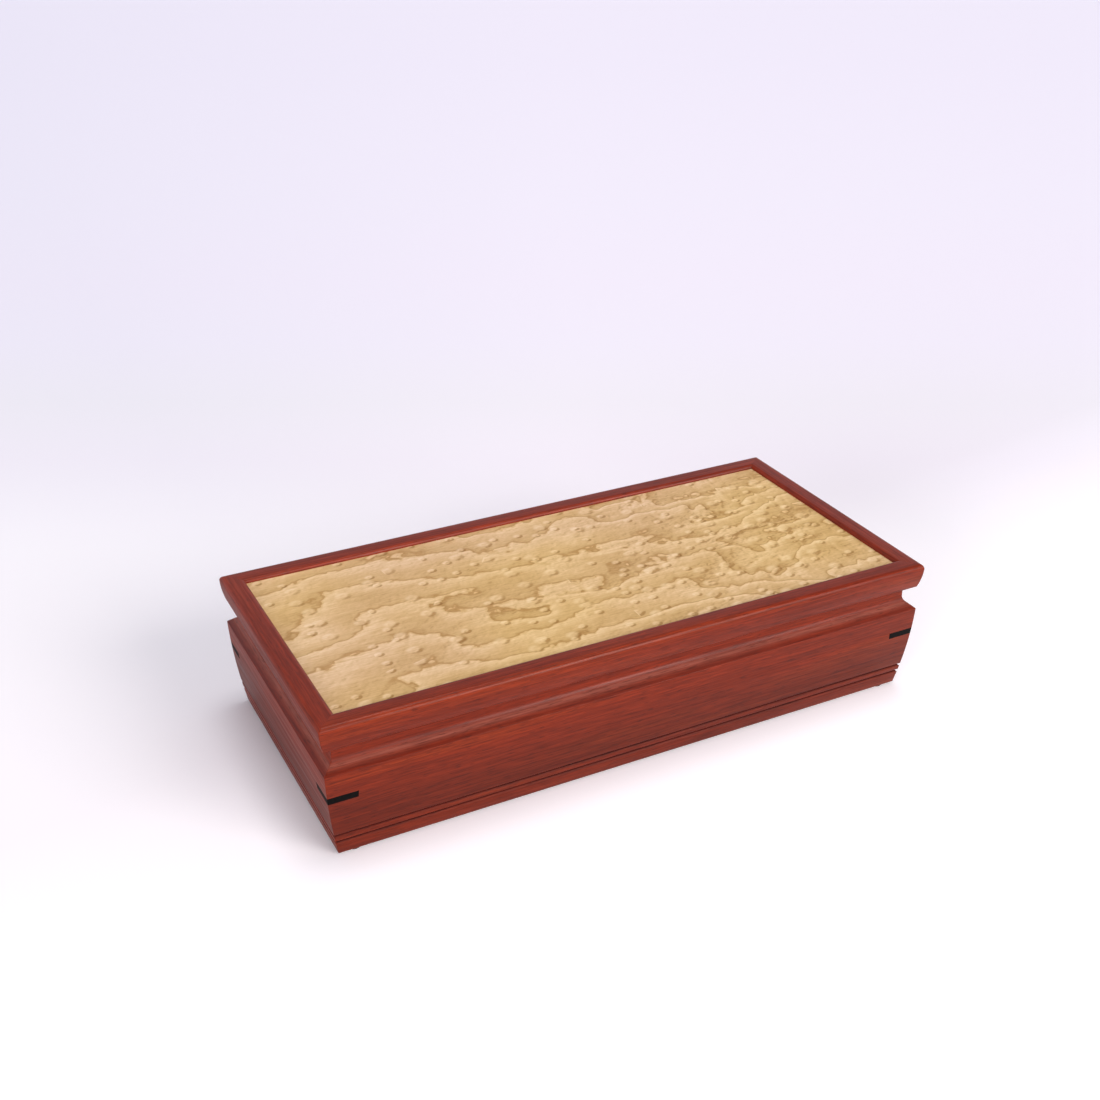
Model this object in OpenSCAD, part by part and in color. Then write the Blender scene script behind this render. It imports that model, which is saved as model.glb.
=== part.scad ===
// Wooden puzzle box: a mitred case with black corner keys, a hinged lid with a
// figured panel, a loose lock bar in the front wall and a hidden drawer in the foot.
// X runs along the box, Y from front to back, Z up. The origin is on the table,
// under the middle of the box. A wall's section is drawn in t and z: t is the
// distance outwards from the reference line at the walls' foot, z the height.

/* [Overall size] */
// Length of the lid, the longest outer dimension
lid_length = 305; // [280:1:330]
// Width of the lid from front to back
lid_width = 143.2; // [132:0.2:156]
// Height from the table to the top of the lid
box_height = 69; // [67:0.5:72]

/* [Lid] */
// Thickness of the lid from its underside to its top
lid_thickness = 12.7; // [12:0.1:14]
// How far the lid stands out past the foot of the walls
lid_overhang = 5.7; // [5.2:0.1:6.4]
// Width of a lid rail seen from above
rail_width = 10.1; // [9.4:0.1:11.5]
// Radius of the bowed outer face of a lid rail
rail_face_radius = 37; // [32:1:60]
// Radius of the rounded outer top edge of a lid rail
rail_outer_round = 2.4; // [1.5:0.1:3]
// Radius of the rounded inner top edge of a lid rail
rail_inner_round = 1.9; // [1:0.1:2.2]
// Depth of the panel below the top of the rails
panel_recess = 2; // [1.5:0.1:2.5]
// Thickness of the figured panel
panel_thickness = 3; // [2.5:0.1:3.5]

/* [Walls] */
// Depth of the walls' inner face behind the reference line
wall_depth = 8.2; // [7.8:0.1:9]
// Radius of the bowed outer face of a wall
wall_face_radius = 286; // [240:1:400]
// How far the sharp lip at the top of the bowed face stands out
lip_reach = 4.55; // [4.2:0.05:4.8]
// Height of the cove and neck between the lip and the lid
neck_height = 11.85; // [11.3:0.05:12.4]
// Depth of the neck's face behind the reference line
neck_inset = 0.6; // [0.4:0.05:0.8]
// Slope of the cove's lower part, from level
cove_slope = 39; // [35:1:43]
// Radius of the cove where it turns up into the neck
cove_radius = 3.9; // [3:0.1:4.2]

/* [Foot and grooves] */
// Thickness of the pads under the corners
foot_height = 1; // [0.8:0.1:1.4]
// Radius of the pads
foot_radius = 3; // [2.4:0.1:3.1]
// Height of the middle of the lower V-groove
lower_groove_z = 8; // [7:0.1:8.3]
// Height of the middle of the upper V-groove, where the drawer front ends
upper_groove_z = 11.6; // [11.4:0.1:12]
// Width of a V-groove at its mouth
groove_width = 1.8; // [1.2:0.1:2]
// Depth of a V-groove
groove_depth = 1.2; // [0.8:0.1:1.4]

/* [Corner keys] */
// Thickness of a corner key
key_thickness = 3.2; // [1.6:0.1:3.2]
// Height of the middle of a corner key
key_z = 32; // [28:0.5:36]
// Length of a corner key seen on each face
key_reach = 13.6; // [10:0.1:15]

/* [Hinges] */
// Distance of each hinge from the middle of the box
hinge_offset = 85; // [60:1:100]
// Length of a hinge
hinge_length = 24; // [20:0.5:30]
// Outer radius of a hinge knuckle
knuckle_radius = 2; // [1.8:0.05:2.1]
// Radius of a hinge pin
pin_radius = 0.8; // [0.7:0.05:0.9]
// Gap around a hinge pin in the lid's knuckle
pin_gap = 0.05; // [0.03:0.01:0.08]

/* [Lock] */
// How far the lock bar slides
bar_travel = 7; // [5:0.5:8]
// Distance of each lock stud from the middle of the box
stud_offset = 60; // [50:1:65]

/* [Drawer] */
// How far the drawer slides out
drawer_travel = 200; // [150:5:220]
// Gap between the drawer and the case
drawer_gap = 0.3; // [0.25:0.05:0.35]
// Thickness of the drawer's sides and tail
drawer_side = 3; // [2.5:0.1:4]

/* [Hidden] */

RIGHT = 0;   // turns about Z that face a run outwards to each side
BACK = 90;
LEFT = 180;
FRONT = 270;

half_length = lid_length / 2 - lid_overhang;   // reference rectangle at the foot
half_width = lid_width / 2 - lid_overhang;
inner_length = 2 * (half_length - wall_depth);
inner_width = 2 * (half_width - wall_depth);

lid_under = box_height - lid_thickness;
lip_z = lid_under - neck_height;
face_crown = 8.65;              // the bow is fullest this far above the lip
face_centre_z = lip_z + face_crown;
face_centre_t = lip_reach - sqrt(pow(wall_face_radius, 2) - pow(face_crown, 2));
cove_rise = (lip_reach + neck_inset) * tan(cove_slope);
cove_tangent = cove_radius * tan((90 - cove_slope) / 2);

rail_inner = rail_width - lid_overhang;   // rail's inner edge behind the reference line
ledge_z = box_height - panel_recess - panel_thickness;
lining_thickness = 0.8;

board_groove = 2.5;      // depth of the wall grooves that hold the floor boards
board_gap = 0.1;         // slack at a floor board's edge
base_panel_z = foot_height + 1;
base_panel_thickness = 1.5;
floor_z = upper_groove_z + 1.9;
floor_thickness = 2.5;

seam = 0.2;              // gap of the drawer front's seams
drawer_base_z = base_panel_z + base_panel_thickness + drawer_gap;
drawer_top_z = upper_groove_z - 0.4;
drawer_bottom_z = drawer_base_z + 0.4;
drawer_bottom_thickness = 1.2;
drawer_lining_thickness = 0.6;
drawer_half_width = inner_width / 2 - drawer_gap;
tail_x = -inner_length / 2 + drawer_gap;      // outer face of the drawer's tail
stop_length = 8;
magnet_radius = 2.8;
magnet_depth = 2;
magnet_z = (drawer_base_z + drawer_top_z) / 2;

axis_t = neck_inset + 1;   // the hinge axis hangs in the cove, clear of the neck
axis_y = half_width + axis_t;
leaf_thickness = 1;
leaf_depth = 6.8;          // from the neck's face inwards
leaf_gap = 0.05;           // each leaf lies this far below its own wood
knuckle_gap = 0.15;
screw_spacing = 16;
screw_radius = 0.8;
screw_head_radius = 1.6;
screw_length = 7;

stud_t = -4.4;
stud_radius = 0.8;
stud_head_radius = 1.5;
stud_head_top = lid_under - 4.5;
stud_head_height = 1.8;
stud_tail = 5.5;           // length of the stud's root in the rail
stud_root_radius = 1.2;
channel_floor_z = lid_under - 7.7;
channel_width = 5.2;
cap_thickness = 2.2;
bar_height = 5;
bar_width = 4.8;
bar_rest_gap = 0.1;
bar_length = 2 * stud_offset + 30;
slot_play = 0.3;

wood_red = "#93402e";
key_black = "#141216";
panel_gold = "#d2ad76";
suede_brown = "#5a4034";
ply_tan = "#c9a67a";
brass = "#c8a24a";
nickel = "#b9babd";
eps = 0.01;
overlap = 1;               // how far the shapes of one section run into each other
cove_bite = 0.05;          // the cutter's slight bite into the neck and the slope
wide = 30;                 // larger than any section

function face_t(z) = face_centre_t + sqrt(pow(wall_face_radius, 2) - pow(z - face_centre_z, 2));

// ---- sections, drawn in t and z ----

module face_blank() {
  intersection() {
    translate([face_centre_t, face_centre_z])
      circle(r = wall_face_radius, $fn = 720);
    translate([-wide, foot_height])
      square([2 * wide, lip_z - foot_height]);
  }
}

module v_groove(z) {
  depth = groove_depth;
  half = groove_width / 2;
  over = 1.5;              // the cutter's shape past the face
  translate([face_t(z) - depth, z])
    polygon([[0, 0], [depth * over, half * over], [depth * over, -half * over]]);
}

// The slope behind the lip, the cove and the neck above them
module cove_and_neck() {
  turn = [-neck_inset, lip_z + cove_rise];   // where slope and neck would meet
  centre = turn + [cove_radius, cove_tangent];
  slope_end = turn + cove_tangent * [cos(cove_slope), -sin(cove_slope)];
  difference() {
    polygon([
      [-wall_depth, lip_z - overlap], [0, lip_z - overlap], [lip_reach, lip_z],
      slope_end, [-neck_inset, centre[1]],
      [-neck_inset, lid_under], [-wall_depth, lid_under]
    ]);
    translate(centre)
      circle(r = cove_radius + cove_bite, $fn = 96);
  }
}

module board_slot(z, thickness) {
  translate([-wall_depth - 1, z])
    square([board_groove + 1, thickness]);
}

module wall_section() {
  difference() {
    union() {
      intersection() {
        face_blank();
        translate([-wall_depth, 0])
          square([wide, box_height]);
      }
      cove_and_neck();
    }
    v_groove(lower_groove_z);
    v_groove(upper_groove_z);
    board_slot(floor_z, floor_thickness);
  }
}

// The walls that close the drawer's space also hold the base panel
module low_wall_section() {
  difference() {
    wall_section();
    board_slot(base_panel_z, base_panel_thickness);
  }
}

module edge_round(radius) {
  difference() {
    translate([-radius, -radius])
      square([radius + 1, radius + 1]);
    translate([-radius, -radius])
      circle(r = radius, $fn = 64);
  }
}

module rail_section() {
  difference() {
    intersection() {
      translate([lid_overhang - rail_face_radius, box_height - 1.1])
        circle(r = rail_face_radius, $fn = 360);
      translate([-wall_depth, lid_under])
        square([wide, lid_thickness]);
    }
    translate([-wide - rail_inner, ledge_z])
      square([wide, wide]);
    translate([lid_overhang, box_height])
      edge_round(rail_outer_round);
    translate([-rail_inner, box_height])
      mirror([1, 0])
        edge_round(rail_inner_round);
  }
}

// ---- runs around the box ----

// A section run along one side, with its ends left square
module run(side, reach, half_run) {
  rotate([0, 0, side])
    translate([reach, 0, 0])
      rotate([90, 0, 0])
        linear_extrude(height = 2 * half_run, center = true)
          children();
}

// A section run along one side, with both ends mitred, and shy of the mitre if asked
module mitred(side, reach, half_run, shy = 0) {
  intersection() {
    run(side, reach, half_run + wide)
      children();
    rotate([0, 0, side])
      linear_extrude(height = box_height + 1)
        polygon([
          [reach + wide, half_run + wide - shy], [reach - wide, half_run - wide - shy],
          [reach - wide, -half_run + wide + shy], [reach + wide, -half_run - wide + shy]
        ]);
  }
}

module on_long_side(side) {
  mitred(side, half_width, half_length)
    children();
}

module on_short_side(side) {
  mitred(side, half_length, half_width)
    children();
}

// ---- corner keys ----

module kerf(x_side, y_side) {
  corner = [half_length + face_t(key_z), half_width + face_t(key_z)];
  spare = 6;
  translate([0, 0, key_z - key_thickness / 2])
    linear_extrude(height = key_thickness)
      polygon([
        [x_side * (corner[0] - key_reach - spare), y_side * (corner[1] + spare)],
        [x_side * (corner[0] + spare), y_side * (corner[1] + spare)],
        [x_side * (corner[0] + spare), y_side * (corner[1] - key_reach - spare)]
      ]);
}

module corner_key(x_side, y_side) {
  color(key_black)
    intersection() {
      kerf(x_side, y_side);
      run(x_side > 0 ? RIGHT : LEFT, half_length, half_width + wide)
        face_blank();
      run(y_side > 0 ? BACK : FRONT, half_width, half_length + wide)
        face_blank();
    }
}

module key_front_left() {
  corner_key(-1, -1);
}

module key_front_right() {
  corner_key(1, -1);
}

module key_back_left() {
  corner_key(-1, 1);
}

module key_back_right() {
  corner_key(1, 1);
}

// ---- case ----

module lock_channel() {
  translate([-bar_length / 2 - slot_play, -(half_width + stud_t) - channel_width / 2, channel_floor_z])
    cube([bar_length + bar_travel + 2 * slot_play, channel_width, lid_under]);
}

module front_wall() {
  color(wood_red)
    difference() {
      on_long_side(FRONT)
        low_wall_section();
      lock_channel();
      kerf(-1, -1);
      kerf(1, -1);
    }
}

module back_wall() {
  color(wood_red)
    difference() {
      on_long_side(BACK)
        low_wall_section();
      each_hinge()
        leaf_seat(-1);
      kerf(-1, 1);
      kerf(1, 1);
    }
}

module left_wall() {
  color(wood_red)
    difference() {
      on_short_side(LEFT)
        low_wall_section();
      magnet_disc(-inner_length / 2 - magnet_depth, magnet_depth + eps);
      kerf(-1, -1);
      kerf(-1, 1);
    }
}

module right_wall() {
  color(wood_red)
    difference() {
      on_short_side(RIGHT)
        wall_section();
      below(upper_groove_z + seam / 2);
      kerf(1, -1);
      kerf(1, 1);
    }
}

module below(z) {
  translate([-lid_length, -lid_length, z - wide])
    cube([2 * lid_length, 2 * lid_length, wide]);
}

module feet() {
  edge = face_t(foot_height) - 0.8;          // pad's outer rim, just behind the face
  along = edge - foot_radius * (1 + sqrt(2)) - 0.1;   // keeps the pad off the mitre
  color("#4b3a35")
    for (x_side = [-1, 1], y_side = [-1, 1])
      translate([x_side * (half_length + along), y_side * (half_width + edge - foot_radius), 0])
        cylinder(r = foot_radius, h = foot_height, $fn = 48);
}

// A floor board let into the wall grooves, ending at x_right
module board(z, thickness, x_right) {
  edge_x = half_length - wall_depth + board_groove - board_gap;
  edge_y = half_width - wall_depth + board_groove - board_gap;
  translate([-edge_x, -edge_y, z])
    cube([edge_x + x_right, 2 * edge_y, thickness]);
}

module base_panel() {
  color(ply_tan)
    board(base_panel_z, base_panel_thickness, inner_length / 2 - seam);
}

module case_floor() {
  color(ply_tan)
    board(floor_z, floor_thickness, half_length - wall_depth + board_groove - board_gap);
}

module floor_lining() {
  color(suede_brown)
    translate([-inner_length / 2, -inner_width / 2, floor_z + floor_thickness])
      cube([inner_length, inner_width, lining_thickness]);
}

module drawer_stop() {
  left = tail_x + drawer_side + drawer_travel;
  bottom = drawer_top_z + drawer_gap;
  color(ply_tan)
    translate([left, -15, bottom])
      cube([stop_length, 30, floor_z - bottom]);
}

module magnet_disc(x, length) {
  translate([x, 0, magnet_z])
    rotate([0, 90, 0])
      cylinder(r = magnet_radius, h = length, $fn = 48);
}

module case_magnet() {
  color(nickel)
    magnet_disc(-inner_length / 2 - magnet_depth, magnet_depth);
}

module lock_channel_cap() {
  color(wood_red)
    difference() {
      intersection() {
        lock_channel();
        translate([-lid_length, -lid_length, lid_under - cap_thickness])
          cube([2 * lid_length, 2 * lid_length, cap_thickness]);
      }
      each_stud()
        cylinder(r = stud_head_radius + 0.5, h = box_height, $fn = 48);
    }
}

// ---- hinges ----

module each_hinge() {
  for (x = [-hinge_offset, hinge_offset])
    translate([x, axis_y, lid_under])
      children();
}

// The stretches of a hinge that belong to the case (outer two) or the lid (middle)
module knuckle_runs(of_case) {
  third = hinge_length / 3;
  for (place = of_case ? [-1, 1] : [0])
    translate([place * third, 0, 0])
      rotate([0, 90, 0])
        linear_extrude(height = third - knuckle_gap, center = true)
          children();
}

// One leaf of a hinge: up is -1 for the case's leaf and 1 for the lid's
module hinge_leaf(up) {
  of_case = up < 0;
  third = hinge_length / 3;
  reach = axis_t + neck_inset + leaf_depth;
  z_low = up < 0 ? -leaf_gap - leaf_thickness : leaf_gap;
  difference() {
    union() {
      knuckle_runs(of_case)
        circle(r = knuckle_radius, $fn = 64);
      translate([-hinge_length / 2, -reach, z_low])
        cube([hinge_length, leaf_depth, leaf_thickness]);
      for (place = of_case ? [-1, 1] : [0])
        translate([place * third - (third - knuckle_gap) / 2, -reach, z_low])
          cube([third - knuckle_gap, reach, leaf_thickness]);
    }
    knuckle_runs(of_case)
      circle(r = pin_radius + (of_case ? 0 : pin_gap), $fn = 48);
    screw_places(up)
      hinge_screw(up);
  }
}

module screw_places(up) {
  for (x = [-screw_spacing / 2, screw_spacing / 2])
    translate([x, -axis_t - neck_inset - leaf_depth / 2, up * leaf_gap])
      children();
}

// A countersunk screw, its head flush with the leaf's inner face
module hinge_screw(up) {
  head = 0.8;
  rotate([up > 0 ? 0 : 180, 0, 0]) {
    cylinder(r1 = screw_head_radius, r2 = screw_radius, h = head, $fn = 32);
    cylinder(r = screw_radius, h = screw_length, $fn = 32);
  }
}

// The wood cut away for a leaf, its screws and, in the lid, its knuckle
module leaf_seat(up) {
  depth = leaf_thickness + leaf_gap;
  reach = axis_t + neck_inset + leaf_depth;
  room = knuckle_radius + 0.2;
  translate([-hinge_length / 2, -reach, up < 0 ? -depth : 0])
    cube([hinge_length, reach, depth]);
  if (up > 0)
    translate([-hinge_length / 2 - knuckle_gap, -room, 0])
      cube([hinge_length + 2 * knuckle_gap, 2 * room, room]);
  screw_places(up)
    hinge_screw(up);
}

module case_hinge_leaves() {
  color(brass)
    each_hinge()
      hinge_leaf(-1);
}

module lid_hinge_leaves() {
  color(brass)
    each_hinge()
      hinge_leaf(1);
}

module hinge_pins() {
  color(brass)
    each_hinge()
      rotate([0, 90, 0])
        cylinder(r = pin_radius, h = hinge_length - knuckle_gap, center = true, $fn = 48);
}

module case_hinge_screws() {
  color(brass)
    each_hinge()
      screw_places(-1)
        hinge_screw(-1);
}

module lid_hinge_screws() {
  color(brass)
    each_hinge()
      screw_places(1)
        hinge_screw(1);
}

// ---- lid ----

module lid_front_rail() {
  color(wood_red)
    difference() {
      on_long_side(FRONT)
        rail_section();
      each_stud()
        translate([0, 0, lid_under - 1])
          cylinder(r = stud_root_radius, h = stud_tail + 1, $fn = 48);
    }
}

module lid_back_rail() {
  color(wood_red)
    difference() {
      on_long_side(BACK)
        rail_section();
      each_hinge()
        leaf_seat(1);
    }
}

module lid_left_rail() {
  color(wood_red)
    on_short_side(LEFT)
      rail_section();
}

module lid_right_rail() {
  color(wood_red)
    on_short_side(RIGHT)
      rail_section();
}

module lid_panel() {
  color(panel_gold)
    translate([rail_inner - half_length, rail_inner - half_width, ledge_z])
      cube([2 * (half_length - rail_inner), 2 * (half_width - rail_inner), panel_thickness]);
}

module lid_lining() {
  color(suede_brown)
    translate([-inner_length / 2, -inner_width / 2, ledge_z - lining_thickness])
      cube([inner_length, inner_width, lining_thickness]);
}

module each_stud() {
  for (x = [-stud_offset, stud_offset])
    translate([x, -(half_width + stud_t), 0])
      children();
}

module lock_studs() {
  color(brass)
    each_stud() {
      translate([0, 0, stud_head_top - stud_head_height])
        cylinder(r = stud_head_radius, h = stud_head_height, $fn = 48);
      translate([0, 0, stud_head_top - eps])
        cylinder(r = stud_radius, h = lid_under - stud_head_top + 2 * eps, $fn = 48);
      translate([0, 0, lid_under])
        cylinder(r = stud_root_radius, h = stud_tail, $fn = 48);
    }
}

// ---- lock bar ----

// A keyhole: a round way in for the stud's head, and a T-slot towards -X
module keyhole() {
  head_room = stud_head_radius + slot_play;
  neck_room = stud_radius + 0.2;
  bottom = stud_head_top - stud_head_height - 0.4;
  head_reach = bar_travel + head_room;
  neck_reach = bar_travel + neck_room;
  translate([0, 0, bottom])
    cylinder(r = head_room, h = box_height, $fn = 48);
  translate([-head_reach, -head_room, bottom])
    cube([head_reach, 2 * head_room, stud_head_height + 0.7]);
  translate([-neck_reach, -neck_room, bottom])
    cube([neck_reach, 2 * neck_room, box_height]);
}

module lock_bar() {
  color(brass)
    difference() {
      translate([-bar_length / 2, -(half_width + stud_t) - bar_width / 2, channel_floor_z + bar_rest_gap])
        cube([bar_length, bar_width, bar_height]);
      each_stud()
        keyhole();
    }
}

// ---- drawer ----

module drawer_front() {
  color(wood_red)
    intersection() {
      mitred(RIGHT, half_length, half_width, seam)
        difference() {
          wall_section();
          translate([-wide, upper_groove_z - seam / 2])
            square([2 * wide, box_height]);
        }
      translate([0, -lid_width, 0])
        cube([lid_length, 2 * lid_width, box_height]);
    }
}

module drawer_slot() {
  let_in = 1;
  half = drawer_half_width - drawer_side + let_in;
  translate([tail_x + drawer_side - let_in, -half, drawer_bottom_z])
    cube([inner_length, 2 * half, drawer_bottom_thickness]);
}

module drawer_side_board(y_side) {
  y = y_side > 0 ? drawer_half_width - drawer_side : -drawer_half_width;
  color(ply_tan)
    difference() {
      translate([tail_x, y, drawer_base_z])
        cube([inner_length / 2 - tail_x, drawer_side, drawer_top_z - drawer_base_z]);
      drawer_slot();
    }
}

module drawer_front_side() {
  drawer_side_board(-1);
}

module drawer_back_side() {
  drawer_side_board(1);
}

module drawer_tail() {
  half = drawer_half_width - drawer_side;
  color(ply_tan)
    difference() {
      translate([tail_x, -half, drawer_base_z])
        cube([drawer_side, 2 * half, floor_z - drawer_gap - drawer_base_z]);
      drawer_slot();
      magnet_disc(tail_x - eps, magnet_depth + eps);
    }
}

module drawer_bottom() {
  color(ply_tan)
    intersection() {
      drawer_slot();
      translate([tail_x, -drawer_half_width, 0])
        cube([inner_length / 2 - tail_x, 2 * drawer_half_width, box_height]);
    }
}

module drawer_lining() {
  half = drawer_half_width - drawer_side;
  color(suede_brown)
    translate([tail_x + drawer_side, -half, drawer_bottom_z + drawer_bottom_thickness])
      cube([inner_length / 2 - tail_x - drawer_side, 2 * half, drawer_lining_thickness]);
}

module drawer_magnet() {
  color(nickel)
    magnet_disc(tail_x, magnet_depth);
}

front_wall();
back_wall();
left_wall();
right_wall();
key_front_left();
key_front_right();
key_back_left();
key_back_right();
feet();
base_panel();
case_floor();
floor_lining();
drawer_stop();
case_magnet();
lock_channel_cap();
case_hinge_leaves();
hinge_pins();
case_hinge_screws();
lid_front_rail();
lid_back_rail();
lid_left_rail();
lid_right_rail();
lid_panel();
lid_lining();
lid_hinge_leaves();
lid_hinge_screws();
lock_studs();
lock_bar();
drawer_front();
drawer_front_side();
drawer_back_side();
drawer_tail();
drawer_bottom();
drawer_lining();
drawer_magnet();
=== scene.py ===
import math

import bmesh
import bpy
from mathutils import Matrix, Vector


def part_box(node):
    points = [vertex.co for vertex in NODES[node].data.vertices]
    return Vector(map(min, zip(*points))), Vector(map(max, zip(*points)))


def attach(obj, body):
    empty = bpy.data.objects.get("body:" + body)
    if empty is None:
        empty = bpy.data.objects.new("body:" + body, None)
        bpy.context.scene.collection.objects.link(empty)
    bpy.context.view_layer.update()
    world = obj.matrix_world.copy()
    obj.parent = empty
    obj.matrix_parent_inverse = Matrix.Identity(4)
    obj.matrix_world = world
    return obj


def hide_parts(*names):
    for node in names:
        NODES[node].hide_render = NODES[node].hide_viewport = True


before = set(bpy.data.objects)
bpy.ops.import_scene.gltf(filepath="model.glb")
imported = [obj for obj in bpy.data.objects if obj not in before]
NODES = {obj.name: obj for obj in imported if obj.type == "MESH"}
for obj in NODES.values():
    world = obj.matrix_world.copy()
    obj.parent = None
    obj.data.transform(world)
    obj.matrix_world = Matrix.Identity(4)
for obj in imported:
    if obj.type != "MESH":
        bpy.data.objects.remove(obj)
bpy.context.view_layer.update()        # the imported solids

bl_info = {
    "name": "Wooden puzzle box",
    "version": (1, 0, 0),
    "blender": (4, 5, 0),
    "location": "3D View > Sidebar > Puzzle Box",
    "description": "Finishes a mitred puzzle box with a figured lid panel and black corner keys",
    "category": "Object",
}

MM = 0.001

# Sides of the box, as turns about Z that face a run outwards
RIGHT, BACK, LEFT, FRONT = (math.radians(turn) for turn in (0, 90, 180, 270))


def span(node, axis):
    """The lowest and highest place of a CAD node along an axis."""
    low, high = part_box(node)
    return low[axis], high[axis]


# Heights and places that the frame gives
LID_UNDER, LID_TOP = span("lid_front_rail", 2)
FOOT_Z = span("front_wall", 2)[0]
PANEL_LOW = span("lid_panel", 2)[0]
RIGHT_WALL_LOW = span("right_wall", 2)[0]
DRAWER_FRONT_TOP = span("drawer_front", 2)[1]
LID_HALF_LENGTH = span("lid_front_rail", 0)[1]
LID_HALF_WIDTH = span("lid_left_rail", 1)[1]
KEY_LOW, KEY_HIGH = span("key_front_left", 2)
HINGE_Y = sum(span("hinge_pins", 1)) / 2

# The wood cut away for the hinges: each hinge's middle and half its length, how far a
# leaf's seat reaches inwards and outwards from the pins, and the room round a knuckle
HINGE_X, HINGE_HALF_LENGTH = 85 * MM, 12 * MM
SEAT_IN, SEAT_DEPTH = 8.4 * MM, 1.05 * MM
WALL_SEAT_OUT, RAIL_SEAT_OUT = 4 * MM, 1 * MM
KNUCKLE_ROOM, KNUCKLE_GAP = 2.2 * MM, 0.15 * MM

# The hinges' screws, whose heads are a shade smaller than the holes in the leaves
SCREW_HOLE_RADIUS, SCREW_SPACING = 1.6 * MM, 16 * MM
SCREW_HEAD_RADIUS, SCREW_HEAD_HEIGHT = SCREW_HOLE_RADIUS - 0.02 * MM, 0.8 * MM
SCREW_SHANK_RADIUS, SCREW_SLOT = 0.78 * MM, 0.45 * MM
SCREW_FACETS = 32

# The room under the lock bar, how far the hole for the case's magnet runs on past it,
# and how far the other cutters reach past the wood that they cut
UNDER_BAR, PAST_MAGNET, PAST = 0.1 * MM, 1 * MM, 2 * MM

# Places in a section, from the foot outwards, between which the round of a mitred
# corner grows from none to its whole radius
EASED_FROM, EASED_TO = -2.4 * MM, -0.8 * MM

# Edges that turn by more than this are shaded sharp, or bevelled
SHARP_TURN, BEVELLED_TURN = math.radians(32.0), math.radians(40.0)


def linear(shade):
    """The linear values that shaders take, from an sRGB hex colour or a colour property."""
    if not isinstance(shade, str):
        return tuple(shade)
    parts = [int(shade[k:k + 2], 16) / 255 for k in (1, 3, 5)]
    flat = [c / 12.92 if c <= 0.04045 else ((c + 0.055) / 1.055) ** 2.4 for c in parts]
    return (*flat, 1.0)


WHITE, BLACK = "#ffffff", "#000000"
ORIGIN = (0.0, 0.0, 0.0)


# ---------------------------------------------------------------- sizes and colours

def length(name, millimetres, description):
    """A length property with its default in millimetres."""
    return bpy.props.FloatProperty(
        name=name, description=description, default=millimetres * MM, min=0.0,
        subtype="DISTANCE", unit="LENGTH", precision=5)


def angle(name, degrees, description):
    """An angle property with its default in degrees."""
    return bpy.props.FloatProperty(
        name=name, description=description, default=math.radians(degrees), min=0.0,
        subtype="ANGLE", unit="ROTATION")


def colour(name, code, description):
    """A colour property with its default as an sRGB hex value."""
    return bpy.props.FloatVectorProperty(
        name=name, description=description, default=linear(code), size=4,
        min=0.0, max=1.0, subtype="COLOR")


class PuzzleBoxSizes(bpy.types.PropertyGroup):
    """Sizes of the visible wooden pieces"""

    overhang: length("Lid overhang", 5.7, "How far the lid stands out past the foot of the walls")
    wall_depth: length("Wall depth", 8.2, "Depth of the walls' inner face behind their foot")
    bow_radius: length("Wall bow radius", 286.0, "Radius of the bowed outer face of a wall")
    bow_crown: length("Bow crown height", 8.65, "Height of the bow's fullest point above the lip")
    lip_reach: length("Lip reach", 4.55, "How far the sharp lip stands out past the foot")
    lip_ease: length("Lip ease", 0.2, "Radius that sanding leaves on the lip")
    neck_height: length("Neck height", 11.85, "Height from the lip to the underside of the lid")
    neck_inset: length("Neck inset", 0.6, "Depth of the neck's face behind the foot")
    cove_radius: length("Cove radius", 3.9, "Radius of the cove where it turns up into the neck")
    cove_slope: angle("Cove slope", 39.0, "How steep the slope behind the lip is")
    groove_low: length("Lower groove height", 8.0, "Height of the middle of the lower V-groove")
    groove_high: length("Upper groove height", 11.6, "Height of the middle of the upper V-groove")
    groove_width: length("Groove width", 1.8, "Width of a V-groove at its mouth")
    groove_depth: length("Groove depth", 1.2, "Depth of a V-groove")
    rail_bow_radius: length("Rail bow radius", 37.0, "Radius of the bowed outer face of a lid rail")
    rail_crown: length("Rail crown depth", 1.1, "Depth of the bow's fullest point below the top")
    rail_inner: length("Rail inner edge", 4.4, "Distance of a rail's inner edge behind the foot")
    rail_outer_round: length("Rail outer round", 2.4, "Radius of a rail's outer top edge")
    rail_inner_round: length("Rail inner round", 1.9, "Radius of a rail's inner top edge")
    rail_under_round: length("Rail under round", 0.7, "Radius of a rail's outer lower edge")
    corner_ease: length("Corner ease", 0.45, "Radius that sanding leaves on the mitred corners")
    key_reach: length("Key reach", 13.6, "Length of a corner key seen on each face")
    board_groove: length("Board groove", 2.5, "Depth of the grooves that hold the floor boards")
    seam: length("Drawer seam", 0.2, "Gap at each mitre of the drawer's front")


class PuzzleBoxColours(bpy.types.PropertyGroup):
    """Main colours of the finishes"""

    bubinga: colour("Bubinga", "#8b2c12", "Main colour of the red walls and rails")
    bubinga_streak: colour("Bubinga streak", "#7b2610", "Dark streaks in the red wood")
    bubinga_glow: colour("Bubinga glow", "#943414", "Orange bands in the red wood")
    maple_light: colour("Blister maple light", "#f4dcb8", "Light crests of the figured panel")
    maple: colour("Blister maple", "#e6ca9e", "Main colour of the figured panel")
    maple_dark: colour("Blister maple dark", "#c6a471", "Dark lines of the figured panel")


# ---------------------------------------------------------------- outlines
# An outline is a list of (outward place, height, radius of the rounded corner there).

def bow_place(sizes, z):
    """How far out the bowed wall face stands at a height."""
    crown_z = LID_UNDER - sizes.neck_height + sizes.bow_crown
    centre = sizes.lip_reach - math.sqrt(sizes.bow_radius ** 2 - sizes.bow_crown ** 2)
    return centre + math.sqrt(sizes.bow_radius ** 2 - (z - crown_z) ** 2)


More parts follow.
